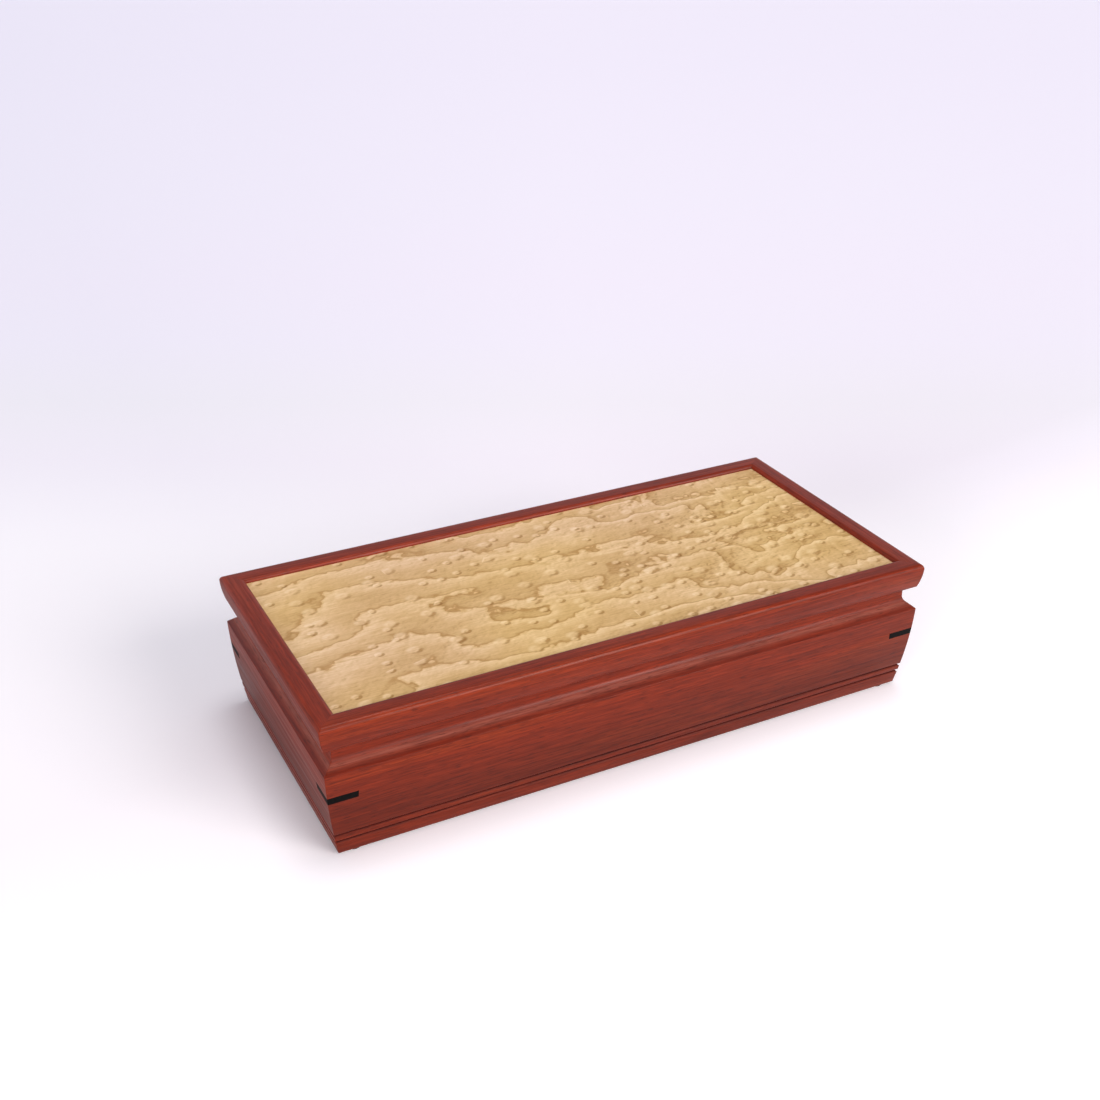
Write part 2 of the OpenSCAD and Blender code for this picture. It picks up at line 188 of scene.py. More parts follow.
def bow_up_to_lip(sizes, steps=14):
    """Points up the bowed face from the upper groove to the lip, without its ends."""
    low = sizes.groove_high + sizes.groove_width / 2
    rise = LID_UNDER - sizes.neck_height - low
    heights = [low + rise * k / steps for k in range(1, steps)]
    return [(bow_place(sizes, z), z, 0.0) for z in heights]


def arc(centre, radius, start, end, steps):
    """Points along an arc whose angles are in degrees."""
    angles = [math.radians(start + (end - start) * k / steps) for k in range(steps + 1)]
    x, z = centre
    return [(x + radius * math.cos(a), z + radius * math.sin(a), 0.0) for a in angles]


def groove_mouth(sizes, z, side):
    """The lower (side -1) or upper (side 1) edge of a V-groove."""
    edge = z + side * sizes.groove_width / 2
    return (bow_place(sizes, edge), edge, 0.14 * MM)


def groove_flank(sizes, z):
    """The point of the upper V-groove's flank at a height near its middle."""
    shy = abs(z - sizes.groove_high) / (sizes.groove_width / 2)
    return bow_place(sizes, sizes.groove_high) - sizes.groove_depth * (1 - shy)


def v_groove(sizes, z):
    """The three corners of a V-groove, from its lower edge to its upper."""
    root = (bow_place(sizes, z) - sizes.groove_depth, z, 0.1 * MM)
    return [groove_mouth(sizes, z, -1), root, groove_mouth(sizes, z, 1)]


def board_slot(sizes, node):
    """The groove in a wall's inner face that holds a floor board, from its top down."""
    low, high = span(node, 2)
    face, root = -sizes.wall_depth, sizes.board_groove - sizes.wall_depth
    return [(face, high, 0.0), (root, high, 0.0), (root, low, 0.0), (face, low, 0.0)]


def lip_to_inner_face(sizes):
    """The lip, the slope behind it, the cove and neck, and over to the inner face."""
    lip_z = LID_UNDER - sizes.neck_height
    slope = sizes.cove_slope
    rise = (sizes.lip_reach + sizes.neck_inset) * math.tan(slope)
    tangent = sizes.cove_radius * math.tan((math.pi / 2 - slope) / 2)
    centre = (sizes.cove_radius - sizes.neck_inset, lip_z + rise + tangent)
    return (
        [(sizes.lip_reach, lip_z, sizes.lip_ease)]
        + arc(centre, sizes.cove_radius, 270 - math.degrees(slope), 180, 9)
        + [(-sizes.neck_inset, LID_UNDER, 0.25 * MM), (-sizes.wall_depth, LID_UNDER, 0.4 * MM)]
    )


def wall_outline(sizes):
    """The section of the front, back and left walls."""
    return (
        [(-sizes.wall_depth, FOOT_Z, 0.0), (bow_place(sizes, FOOT_Z), FOOT_Z, 0.4 * MM)]
        + v_groove(sizes, sizes.groove_low) + v_groove(sizes, sizes.groove_high)
        + bow_up_to_lip(sizes) + lip_to_inner_face(sizes)
        + board_slot(sizes, "case_floor") + board_slot(sizes, "base_panel")
    )


def right_wall_outline(sizes):
    """The section of the right wall, which ends in the upper V-groove."""
    return (
        [(-sizes.wall_depth, RIGHT_WALL_LOW, 0.1 * MM)]
        + [(groove_flank(sizes, RIGHT_WALL_LOW), RIGHT_WALL_LOW, 0.0)]
        + [groove_mouth(sizes, sizes.groove_high, 1)]
        + bow_up_to_lip(sizes) + lip_to_inner_face(sizes) + board_slot(sizes, "case_floor")
    )


def drawer_front_outline(sizes):
    """The section of the drawer's front, the foot of the right-hand end."""
    return (
        [(-sizes.wall_depth, FOOT_Z, 0.0), (bow_place(sizes, FOOT_Z), FOOT_Z, 0.4 * MM)]
        + v_groove(sizes, sizes.groove_low)
        + [groove_mouth(sizes, sizes.groove_high, -1)]
        + [(groove_flank(sizes, DRAWER_FRONT_TOP), DRAWER_FRONT_TOP, 0.0)]
        + [(-sizes.wall_depth, DRAWER_FRONT_TOP, 0.1 * MM)]
    )


def rail_outline(sizes):
    """The section of a lid rail, with the ledge under the panel."""
    centre = sizes.overhang - sizes.rail_bow_radius
    crown_z = LID_TOP - sizes.rail_crown
    outer, inner = sizes.rail_outer_round, sizes.rail_inner_round
    round_z = LID_TOP - outer
    rise = round_z - LID_UNDER

    def bowed(z):
        """How far out the rail's face stands at a height."""
        return centre + math.sqrt(sizes.rail_bow_radius ** 2 - (z - crown_z) ** 2)

    heights = [LID_UNDER + rise * k / 12 for k in range(2, 12)]
    return (
        [(-sizes.wall_depth, LID_UNDER, 0.3 * MM)]
        + [(bowed(LID_UNDER), LID_UNDER, sizes.rail_under_round)]
        + [(bowed(z), z, 0.0) for z in heights]
        + arc((bowed(round_z) - outer, round_z), outer, 0, 90, 9)
        + arc((inner - sizes.rail_inner, LID_TOP - inner), inner, 90, 180, 8)
        + [(-sizes.rail_inner, PANEL_LOW, 0.0), (-sizes.wall_depth, PANEL_LOW, 0.0)]
    )


def rounded(outline, steps=3):
    """The outline's points, with each corner that has a radius rounded."""
    points = []
    for k, (out, z, radius) in enumerate(outline):
        here = Vector((out, z))
        if radius == 0.0:
            points.append(here)
            continue
        before = (Vector(outline[k - 1][:2]) - here).normalized()
        after = (Vector(outline[(k + 1) % len(outline)][:2]) - here).normalized()
        opening = before.angle(after)
        centre = here + (before + after).normalized() * radius / math.sin(opening / 2)
        reach = radius / math.tan(opening / 2)
        first = (here + before * reach - centre).normalized()
        last = (here + after * reach - centre).normalized()
        for step in range(steps + 1):
            points.append(centre + radius * first.slerp(last, step / steps))
    return points


# ---------------------------------------------------------------- nodes

def add_node(tree, kind, inputs=None, stops=None, **settings):
    """Adds a node with its settings, fills or links its inputs and sets a ramp's stops.

    An input is given by its name or number, and a colour by its hex value or property.
    """
    node = tree.nodes.new(kind)
    for name, value in settings.items():
        setattr(node, name, value)
    for key, value in (inputs or {}).items():
        named = [s for s in node.inputs if s.enabled and s.name == key]
        socket = node.inputs[key] if isinstance(key, int) else named[0]
        if isinstance(value, bpy.types.Node):
            value = next(s for s in value.outputs if s.enabled)
        if isinstance(value, bpy.types.NodeSocket):
            tree.links.new(value, socket)
        else:
            socket.default_value = linear(value) if socket.type == "RGBA" else value
    if stops:
        elements = node.color_ramp.elements
        while len(elements) < len(stops):
            elements.new(1.0)
        for element, (place, shade) in zip(elements, stops):
            element.position = place
            element.color = linear(shade)
    return node


MATH, VECTOR_MATH = "ShaderNodeMath", "ShaderNodeVectorMath"
SEPARATE, COMBINE = "ShaderNodeSeparateXYZ", "ShaderNodeCombineXYZ"
COORDINATES, PLACE = "ShaderNodeTexCoord", "ShaderNodeMapping"
NOISE, BUMP = "ShaderNodeTexNoise", "ShaderNodeBump"
MIX, RAMP, RANGE = "ShaderNodeMix", "ShaderNodeValToRGB", "ShaderNodeMapRange"
LIGHT_PATH = "ShaderNodeLightPath"
PRINCIPLED, SURFACE = "ShaderNodeBsdfPrincipled", "ShaderNodeOutputMaterial"

# Settings of a mix of colours: one laid over the other, or the two multiplied
OVER = {"data_type": "RGBA"}
TIMES = {"data_type": "RGBA", "blend_type": "MULTIPLY"}


def new_tree(name, kind, inputs, outputs):
    """An empty tree with its named inputs and outputs, each with what it holds."""
    tree = bpy.data.node_groups.new(name, kind)
    for in_out, sockets in (("INPUT", inputs), ("OUTPUT", outputs)):
        for label, holds in sockets.items():
            is_size = holds == "Distance"
            made = tree.interface.new_socket(
                label, in_out=in_out, socket_type="NodeSocket" + ("Float" if is_size else holds))
            if is_size:
                made.subtype = "DISTANCE"
    return tree


# The steps that a rounded corner is made in, on each side of the mitre
CORNER_RINGS = 4
CORNER_STEP = math.pi / 4 / (CORNER_RINGS - 1)


def corner_place_tree():
    """Where a point of the section lies on one ring of a mitred run.

    Rings 0 and 7 lie on the mitres. Between them the outer face turns through a
    small round, while the inner face, whose eased value is 0, keeps a sharp corner.
    """
    tree = new_tree("corner_place", "GeometryNodeTree", {
        "Section": "Vector", "Eased": "Float", "Ring": "Float", "Reach": "Float",
        "Half run": "Float", "Corner radius": "Float"}, {"Place": "Vector"})
    given = add_node(tree, "NodeGroupInput").outputs
    section = add_node(tree, SEPARATE, {"Vector": given["Section"]}).outputs
    off = add_node(tree, MATH, {0: given["Ring"], 1: CORNER_RINGS - 0.5}, operation="SUBTRACT")
    side = add_node(tree, MATH, {0: off}, operation="SIGN")
    apart = add_node(tree, MATH, {0: off}, operation="ABSOLUTE")
    steps = add_node(tree, MATH, {0: apart, 1: 0.5}, operation="SUBTRACT")
    turn = add_node(tree, MATH, {0: steps, 1: CORNER_STEP}, operation="MULTIPLY")
    sine = add_node(tree, MATH, {0: turn}, operation="SINE")
    cosine = add_node(tree, MATH, {0: turn}, operation="COSINE")
    half = math.sqrt(0.5)
    reach = add_node(tree, MATH, {
        0: given["Eased"], 1: 1 - half, 2: half}, operation="MULTIPLY_ADD")
    back = add_node(tree, MATH, {0: sine, 1: reach}, operation="SUBTRACT")
    end = add_node(tree, MATH, {0: given["Half run"], 1: section["X"]}, operation="ADD")
    along = add_node(tree, MATH, {
        0: back, 1: given["Corner radius"], 2: end}, operation="MULTIPLY_ADD")
    signed = add_node(tree, MATH, {0: along, 1: side}, operation="MULTIPLY")
    dip = add_node(tree, MATH, {0: cosine, 1: 1.0}, operation="SUBTRACT")
    eased_dip = add_node(tree, MATH, {0: dip, 1: given["Eased"]}, operation="MULTIPLY")
    face = add_node(tree, MATH, {0: given["Reach"], 1: section["X"]}, operation="ADD")
    outward = add_node(tree, MATH, {
        0: eased_dip, 1: given["Corner radius"], 2: face}, operation="MULTIPLY_ADD")
    place = add_node(tree, COMBINE, {"X": outward, "Y": signed, "Z": section["Z"]})
    add_node(tree, "NodeGroupOutput", {"Place": place})
    return tree


def mitred_run_tree():
    """Runs a section along one side of the box and closes it at both mitres."""
    corner_place = corner_place_tree()
    tree = new_tree("mitred_run", "GeometryNodeTree", {
        "Section": "Geometry", "Reach": "Distance", "Half run": "Distance",
        "Corner radius": "Distance", "Wood": "Material"}, {"Run": "Geometry"})
    given = add_node(tree, "NodeGroupInput").outputs
    rings = 2 * CORNER_RINGS

    def placed(geometry, section, eased, ring):
        """Moves the points of a geometry to their places on a ring."""
        place = add_node(tree, "GeometryNodeGroup", {
            "Section": section, "Eased": eased, "Ring": ring, "Reach": given["Reach"],
            "Half run": given["Half run"], "Corner radius": given["Corner radius"]},
            node_tree=corner_place)
        return add_node(tree, "GeometryNodeSetPosition", {"Geometry": geometry, "Position": place})

    size = add_node(tree, "GeometryNodeAttributeDomainSize", {"Geometry": given["Section"]})
    count = size.outputs["Point Count"]
    columns = add_node(tree, MATH, {0: count, 1: 1.0}, operation="ADD")
    grid = add_node(tree, "GeometryNodeMeshGrid", {"Vertices X": columns, "Vertices Y": rings})
    index = add_node(tree, "GeometryNodeInputIndex")
    share = add_node(tree, MATH, {0: index, 1: float(rings)}, operation="DIVIDE")
    column = add_node(tree, MATH, {0: share}, operation="FLOOR")
    wrapped = add_node(tree, MATH, {0: column, 1: count}, operation="MODULO")
    ring = add_node(tree, MATH, {0: index, 1: float(rings)}, operation="MODULO")
    place = add_node(tree, "GeometryNodeInputPosition").outputs[0]
    eased = add_node(tree, "GeometryNodeInputNamedAttribute", {
        "Name": "eased"}, data_type="FLOAT").outputs["Attribute"]
    sampled_place = add_node(tree, "GeometryNodeSampleIndex", {
        "Geometry": given["Section"], "Value": place, "Index": wrapped}, data_type="FLOAT_VECTOR")
    sampled_ease = add_node(tree, "GeometryNodeSampleIndex", {
        "Geometry": given["Section"], "Value": eased, "Index": wrapped}, data_type="FLOAT")
    skin = placed(grid.outputs["Mesh"], sampled_place, sampled_ease, ring)
    near_end = placed(given["Section"], place, eased, 0.0)
    far_end = placed(given["Section"], place, eased, rings - 1.0)
    joined = add_node(tree, "GeometryNodeJoinGeometry")
    for part in (far_end, near_end, skin):
        tree.links.new(part.outputs[0], joined.inputs[0])
    merged = add_node(tree, "GeometryNodeMergeByDistance", {
        "Geometry": joined, "Distance": 0.002 * MM})
    real = add_node(tree, "GeometryNodeRealizeInstances", {"Geometry": merged})
    finished = add_node(tree, "GeometryNodeSetMaterial", {
        "Geometry": real, "Material": given["Wood"]})
    add_node(tree, "NodeGroupOutput", {"Run": finished})
    return tree


def hinge_screws_tree():
    """Drives a slotted, countersunk screw at each point; its slot stays where the turn ended."""
    tree = new_tree("hinge_screws", "GeometryNodeTree", {
        "Places": "Geometry", "Head radius": "Distance", "Head height": "Distance",
        "Shank radius": "Distance", "Length": "Distance", "Slot width": "Distance",
        "Slot depth": "Distance", "Drive": "Vector", "Metal": "Material"}, {"Screws": "Geometry"})
    given = add_node(tree, "NodeGroupInput").outputs

    def lowered(mesh, depth):
        """Moves a mesh down by a depth."""
        down = add_node(tree, MATH, {0: depth, 1: -1.0}, operation="MULTIPLY")
        place = add_node(tree, COMBINE, {"Z": down})
        return add_node(tree, "GeometryNodeTransform", {"Geometry": mesh, "Translation": place})

    head = add_node(tree, "GeometryNodeMeshCone", {
        "Vertices": SCREW_FACETS, "Radius Top": given["Head radius"],
        "Radius Bottom": given["Shank radius"], "Depth": given["Head height"]})
    tip = add_node(tree, MATH, {0: given["Shank radius"], 1: 0.15}, operation="MULTIPLY")
    below = add_node(tree, MATH, {0: given["Length"], 1: given["Slot depth"]}, operation="SUBTRACT")
    shank = add_node(tree, "GeometryNodeMeshCone", {
        "Vertices": SCREW_FACETS, "Radius Top": given["Shank radius"], "Radius Bottom": tip,
        "Depth": below})
    across = add_node(tree, MATH, {0: given["Head radius"], 1: 3.0}, operation="MULTIPLY")
    twice = add_node(tree, MATH, {0: given["Slot depth"], 1: 2.0}, operation="MULTIPLY")
    slot_size = add_node(tree, COMBINE, {
        "X": across, "Y": given["Slot width"], "Z": twice})
    slot = add_node(tree, "GeometryNodeMeshCube", {"Size": slot_size})
    whole = add_node(tree, "GeometryNodeMeshBoolean", operation="UNION", solver="EXACT")
    for mesh in (lowered(head, given["Head height"]), lowered(shank, given["Length"])):
        tree.links.new(mesh.outputs[0], whole.inputs["Mesh 2"])
    slotted = add_node(tree, "GeometryNodeMeshBoolean", {
        "Mesh 1": whole}, operation="DIFFERENCE", solver="EXACT")
    tree.links.new(slot.outputs["Mesh"], slotted.inputs["Mesh 2"])
    driven = add_node(tree, "GeometryNodeInstanceOnPoints", {
        "Points": given["Places"], "Instance": slotted, "Rotation": given["Drive"]})
    ended = add_node(tree, "FunctionNodeRandomValue", {
        "Min": (0.0, 0.0, 0.0), "Max": (0.0, 0.0, math.pi), "Seed": 7}, data_type="FLOAT_VECTOR")
    turned = add_node(tree, "GeometryNodeRotateInstances", {
        "Instances": driven, "Rotation": ended, "Local Space": True})
    real = add_node(tree, "GeometryNodeRealizeInstances", {"Geometry": turned})
    finished = add_node(tree, "GeometryNodeSetMaterial", {
        "Geometry": real, "Material": given["Metal"]})
    add_node(tree, "NodeGroupOutput", {"Screws": finished})
    return tree


# ---------------------------------------------------------------- making pieces

def new_object(name, mesh):
    """A new object in the scene."""
    piece = bpy.data.objects.new(name, mesh)
    bpy.context.scene.collection.objects.link(piece)
    return piece


def make_plain(piece):
    """Turns what the modifiers give into the object's own mesh and removes them."""
    bpy.context.view_layer.update()
    evaluated = piece.evaluated_get(bpy.context.evaluated_depsgraph_get())
    mesh = bpy.data.meshes.new_from_object(evaluated)
    while mesh.materials and not mesh.materials[0]:
        mesh.materials.pop(index=0)
    piece.modifiers.clear()
    piece.data = mesh


def smooth_between_edges(piece):
    """Merges doubles, points the faces outwards and shades smooth between sharp edges."""
    mesh = bmesh.new()
    mesh.from_mesh(piece.data)
    bmesh.ops.remove_doubles(mesh, verts=mesh.verts, dist=0.001 * MM)
    bmesh.ops.recalc_face_normals(mesh, faces=mesh.faces)
    mesh.to_mesh(piece.data)
    mesh.free()
    piece.data.shade_smooth()
    piece.data.set_sharp_from_angle(angle=SHARP_TURN)


def shape_by_tree(piece, tree, values):
    """Runs a tree on a piece with these inputs and keeps what it gives as a plain mesh."""
    modifier = piece.modifiers.new(tree.name, "NODES")
    modifier.node_group = tree
    for socket in tree.interface.items_tree:
        if socket.in_out == "INPUT" and socket.name in values:
            modifier[socket.identifier] = values[socket.name]
    make_plain(piece)


def section_mesh(name, points):
    """One face with the outline's points, which say how much of a corner's round they take."""
    mesh = bpy.data.meshes.new(name)
    mesh.from_pydata([(p.x, 0.0, p.y) for p in points], [], [list(range(len(points)))])
    eased = mesh.attributes.new("eased", "FLOAT", "POINT")
    for k, point in enumerate(points):
        share = min(max((point.x - EASED_FROM) / (EASED_TO - EASED_FROM), 0.0), 1.0)
        eased.data[k].value = share * share * (3 - 2 * share)
    return mesh


def run_piece(name, outline, side, wood, cutters=(), seam=0.0):
    """One mitred run of a section on a side of the box, with what is cut out of it."""
    sizes = bpy.context.scene.puzzle_box_sizes
    reach, half_run = LID_HALF_LENGTH - sizes.overhang, LID_HALF_WIDTH - sizes.overhang
    if side in (FRONT, BACK):
        reach, half_run = half_run, reach
    piece = new_object(name, section_mesh(name, rounded(outline)))
    shape_by_tree(piece, bpy.data.node_groups.get("mitred_run") or mitred_run_tree(), {
        "Reach": reach, "Half run": half_run - seam, "Corner radius": sizes.corner_ease,
        "Wood": wood})
    piece.data.transform(Matrix.Rotation(side, 4, "Z"))
    smooth_between_edges(piece)
    for cutter in cutters:
        cut = piece.modifiers.new(cutter.name, "BOOLEAN")
        cut.operation = "DIFFERENCE"
        cut.solver = "EXACT"
        cut.object = cutter
    if cutters:
        make_plain(piece)
        smooth_between_edges(piece)
    attribute = piece.data.attributes.get("eased")
    if attribute:
        piece.data.attributes.remove(attribute)
    for cutter in cutters:
        bpy.data.objects.remove(cutter)
    if not piece.data.polygons:
        raise RuntimeError(name + " came out empty")
    return piece


def solid(name, bm):
    """An object from a bmesh, with its faces pointing outwards."""
    bmesh.ops.recalc_face_normals(bm, faces=bm.faces)
    mesh = bpy.data.meshes.new(name)
    bm.to_mesh(mesh)
    bm.free()
    return new_object(name, mesh)


def block(name, low, high):
    """A cutter with square corners between two points."""
    bm = bmesh.new()
    middle = (Vector(low) + Vector(high)) / 2
    size = Vector(high) - Vector(low)
    place = Matrix.Translation(middle) @ Matrix.Diagonal((*size, 1.0))
    bmesh.ops.create_cube(bm, size=1.0, matrix=place)
    return solid(name, bm)


def prism(name, corners, low, high):
    """A cutter with a flat outline between two heights."""
    bm = bmesh.new()
    foot = [bm.verts.new((x, y, low)) for x, y in corners]
    face = bm.faces.new(foot)
    raised = bmesh.ops.extrude_face_region(bm, geom=[face])["geom"]
    top = [part for part in raised if isinstance(part, bmesh.types.BMVert)]
    bmesh.ops.translate(bm, vec=(0.0, 0.0, high - low), verts=top)
    return solid(name, bm)


def drum(name, middle, radius, depth, turn):
    """A round cutter with its axis turned from Z."""
    bm = bmesh.new()
    place = Matrix.Translation(middle) @ turn
    bmesh.ops.create_cone(
        bm, cap_ends=True, segments=48, radius1=radius, radius2=radius, depth=depth, matrix=place)
    return solid(name, bm)


def kerf_line(sizes):
    """The sum of the distances from the middle at the flat inner side of a corner key."""
    face = bow_place(sizes, (KEY_LOW + KEY_HIGH) / 2)
    corner = LID_HALF_LENGTH + LID_HALF_WIDTH - 2 * sizes.overhang + 2 * face
    return corner - sizes.key_reach


def kerf(x_side, y_side):
    """The triangle that a corner key fills, as a cutter."""
    sizes = bpy.context.scene.puzzle_box_sizes
    line = kerf_line(sizes)
    far_x, far_y = LID_HALF_LENGTH + PAST, LID_HALF_WIDTH + PAST
    corners = [(line - far_y, far_y), (far_x, far_y), (far_x, line - far_x)]
    return prism("kerf", [(x_side * x, y_side * y) for x, y in corners], KEY_LOW, KEY_HIGH)


def corner_key(name, x_side, y_side, sizes):
    """A thin triangle whose two outer edges follow the bowed walls and their eased corner."""
    bm = bmesh.new()
    line, ease, steps = kerf_line(sizes), sizes.corner_ease, 2 * (CORNER_RINGS - 1)
    rings = []
    for z in (KEY_LOW, (KEY_LOW + KEY_HIGH) / 2, KEY_HIGH):
        face = bow_place(sizes, z)
        far_x = LID_HALF_LENGTH - sizes.overhang + face
        far_y = LID_HALF_WIDTH - sizes.overhang + face
        outline = [(far_x, line - far_x)]
        outline += [p[:2] for p in arc((far_x - ease, far_y - ease), ease, 0, 90, steps)]
        outline += [(line - far_y, far_y)]
        rings.append([bm.verts.new((x_side * x, y_side * y, z)) for x, y in outline])
    for lower, upper in zip(rings, rings[1:]):
        for k in range(len(lower)):
            after = (k + 1) % len(lower)
            bm.faces.new((lower[k], lower[after], upper[after], upper[k]))
    bm.faces.new(rings[0])
    bm.faces.new(rings[-1])
    return solid(name, bm)


def hinge_screws(body, z, turn, metal):
    """The screws of the leaves on one body, their heads flush with the leaves."""
    node = body + "_hinge_screws"
    right, back = span(node, 0)[1] - SCREW_HOLE_RADIUS, sum(span(node, 1)) / 2
    low, high = span(node, 2)
    places = [(side * (right - off), back, z) for side in (-1, 1) for off in (0.0, SCREW_SPACING)]
    mesh = bpy.data.meshes.new("slotted_" + node)
    mesh.from_pydata(places, [], [])
    piece = new_object("slotted_" + node, mesh)
    shape_by_tree(piece, bpy.data.node_groups.get("hinge_screws") or hinge_screws_tree(), {
        "Head radius": SCREW_HEAD_RADIUS, "Head height": SCREW_HEAD_HEIGHT,
        "Shank radius": SCREW_SHANK_RADIUS, "Length": high - low, "Slot width": SCREW_SLOT,
        "Slot depth": SCREW_SLOT, "Drive": (turn, 0.0, 0.0), "Metal": metal})
    smooth_between_edges(piece)
    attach(piece, body)
    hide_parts(node)


def dress(nodes, material, bevel=0.0):
    """Gives CAD nodes their material, and their edges a small round where one is asked for."""
    for name in nodes:
        node = NODES[name]
        node.data.materials.clear()
        node.data.materials.append(material)
        if bevel:
            round_edges = node.modifiers.new("eased_edges", "BEVEL")
            round_edges.width = bevel
            round_edges.segments = 2
            round_edges.limit_method = "ANGLE"
            round_edges.angle_limit = BEVELLED_TURN
            round_edges.harden_normals = False


# ---------------------------------------------------------------- finishes
# A finish builds its patterns on a material's tree and gives the inputs of its shader.

def start_material(name):
    """An empty node material and its tree."""
    material = bpy.data.materials.new(name)
    material.use_nodes = True
    material.node_tree.nodes.clear()
    return material, material.node_tree


def new_material(name, finish, *choices):
    """A material whose shader takes the inputs that a finish works out on its tree."""
    material, tree = start_material(name)
    shader = add_node(tree, PRINCIPLED, finish(tree, *choices))
    add_node(tree, SURFACE, {"Surface": shader})
    return material


def grain(tree, stretch, detail=2.0, roughness=0.5, distortion=0.0, turn=0.0, shift=ORIGIN):
    """Noise drawn out along the grain; stretch is its size in mm along, across and up."""
    place = add_node(tree, COORDINATES).outputs["Object"]
    turned = add_node(tree, PLACE, {
        "Vector": place, "Location": shift, "Rotation": (0.0, 0.0, turn)})
    scaled = add_node(tree, PLACE, {
        "Vector": turned, "Scale": [1.0 / (size * MM) for size in stretch]})
    return add_node(tree, NOISE, {
        "Vector": scaled, "Scale": 1.0, "Detail": detail, "Roughness": roughness,
        "Distortion": distortion})


def varnished_bubinga(tree, turn, shift):
    """Bubinga, planed and sanded, under satin wiping varnish.

    The eye gets an even red-brown with slow, soft bands along the board, fine straight
    streaks, short dark pores, and a soft shine that blurs what it mirrors. The grooves
    have a duller shine and painted shade, the lower wall has painted shade that is
    deepest just above the upper groove and gone by 34 mm, the lip has painted shade,
    and the slope behind it has a paler painted highlight.
    """
    sizes = bpy.context.scene.puzzle_box_sizes
    shades = bpy.context.scene.puzzle_box_colours
    bands = grain(tree, (150.0, 9.0, 7.0), 2.0, distortion=0.4, turn=turn, shift=shift)
    lines = grain(tree, (60.0, 1.3, 1.2), 3.0, 0.6, turn=turn, shift=shift)
    fibres = grain(tree, (14.0, 0.55, 0.55), 2.0, 0.6, turn=turn, shift=shift)
    pores = grain(tree, (5.0, 0.45, 0.45), 0.0, turn=turn, shift=shift)
    base = add_node(tree, RAMP, {"Fac": bands}, stops=[
        (0.28, shades.bubinga_streak), (0.5, shades.bubinga), (0.72, shades.bubinga_glow)])
    darker = add_node(tree, RANGE, {
        "Value": lines, "From Min": 0.56, "From Max": 0.36, "To Max": 0.6})
    lined = add_node(tree, MIX, {"Factor": darker, "A": base, "B": "#6d200d"}, **OVER)
    place = add_node(tree, COORDINATES).outputs["Object"]
    height = add_node(tree, SEPARATE, {"Vector": place}).outputs["Z"]
    upward = add_node(tree, MATH, {0: height, 1: 1.0 / LID_TOP}, operation="MULTIPLY")
    lip = LID_UNDER - sizes.neck_height
    # A paler band on the upward-facing slope behind the lip is a painted highlight
    painted_highlight_band = add_node(tree, RAMP, {"Fac": upward}, stops=[(z / LID_TOP, shade) for z, shade in (
        (lip + 0.85 * MM, BLACK), (lip + 1.85 * MM, "#9c9c9c"), (lip + 2.45 * MM, "#f0f0f0"),
        (lip + 2.95 * MM, "#f0f0f0"), (lip + 3.65 * MM, BLACK))])
    normal = add_node(tree, "ShaderNodeNewGeometry").outputs["Normal"]
    facing_up = add_node(tree, SEPARATE, {"Vector": normal}).outputs["Z"]
    sloped = add_node(tree, RANGE, {"Value": facing_up, "From Min": 0.1, "From Max": 0.4})
    # The painted highlight goes only on upward-facing surfaces
    painted_highlight_amount = add_node(tree, MATH, {0: painted_highlight_band, 1: sloped}, operation="MULTIPLY")
    pale = add_node(tree, MIX, {"Factor": painted_highlight_amount, "A": lined, "B": "#9e5648"}, **OVER)
    tone = add_node(tree, RAMP, {"Fac": fibres}, stops=[(0.32, "#c8c2c0"), (0.64, WHITE)])
    fibrous = add_node(tree, MIX, {"Factor": 1.0, "A": pale, "B": tone}, **TIMES)
    pore = add_node(tree, RANGE, {
        "Value": pores, "From Min": 0.66, "From Max": 0.76, "To Max": 0.5})
    coloured = add_node(tree, MIX, {"Factor": pore, "A": fibrous, "B": "#3a0f08"}, **OVER)
    low, high, edge = sizes.groove_low, sizes.groove_high, 0.4 * sizes.groove_width
    # Tones of painted shade: in the grooves, beside them, above the upper groove and along the lip
    groove_shade_tone, foot_shade_tone, low_shade_tone, lip_shade_tone = "#8c6450", "#ebe9e7", "#d0cecc", "#dfd2cc"
    # Painted shade in the grooves and on the lower wall, deepest just above the upper groove
    groove_and_low_shade = add_node(tree, RAMP, {"Fac": upward}, stops=[(z / LID_TOP, shade) for z, shade in (
        (low - edge, foot_shade_tone), (low - 0.5 * edge, groove_shade_tone),
        (low + 0.5 * edge, groove_shade_tone), (low + edge, foot_shade_tone),
        (high - edge, foot_shade_tone), (high - 0.5 * edge, groove_shade_tone),
        (high + 0.5 * edge, groove_shade_tone), (high + edge, low_shade_tone),
        (16 * MM, low_shade_tone), (24 * MM, "#dcdad8"), (34 * MM, WHITE))])
    # Painted shade along the lip
    painted_lip_shade = add_node(tree, RAMP, {"Fac": upward}, stops=[(z / LID_TOP, shade) for z, shade in (
        (lip - 0.25 * MM, WHITE), (lip + 0.05 * MM, lip_shade_tone),
        (lip + 0.55 * MM, lip_shade_tone), (lip + 1.85 * MM, WHITE))])
    # The painted shade of the grooves and the lower wall darkens the colour
    low_shaded = add_node(tree, MIX, {"Factor": 1.0, "A": coloured, "B": groove_and_low_shade}, **TIMES)
    # The painted lip shade goes only on upward-facing surfaces
    lip_shaded = add_node(tree, MIX, {"Factor": sloped, "A": low_shaded, "B": painted_lip_shade}, **TIMES)
    satin = add_node(tree, RANGE, {
        "Value": lines, "From Min": 0.35, "From Max": 0.65, "To Min": 0.46, "To Max": 0.3})
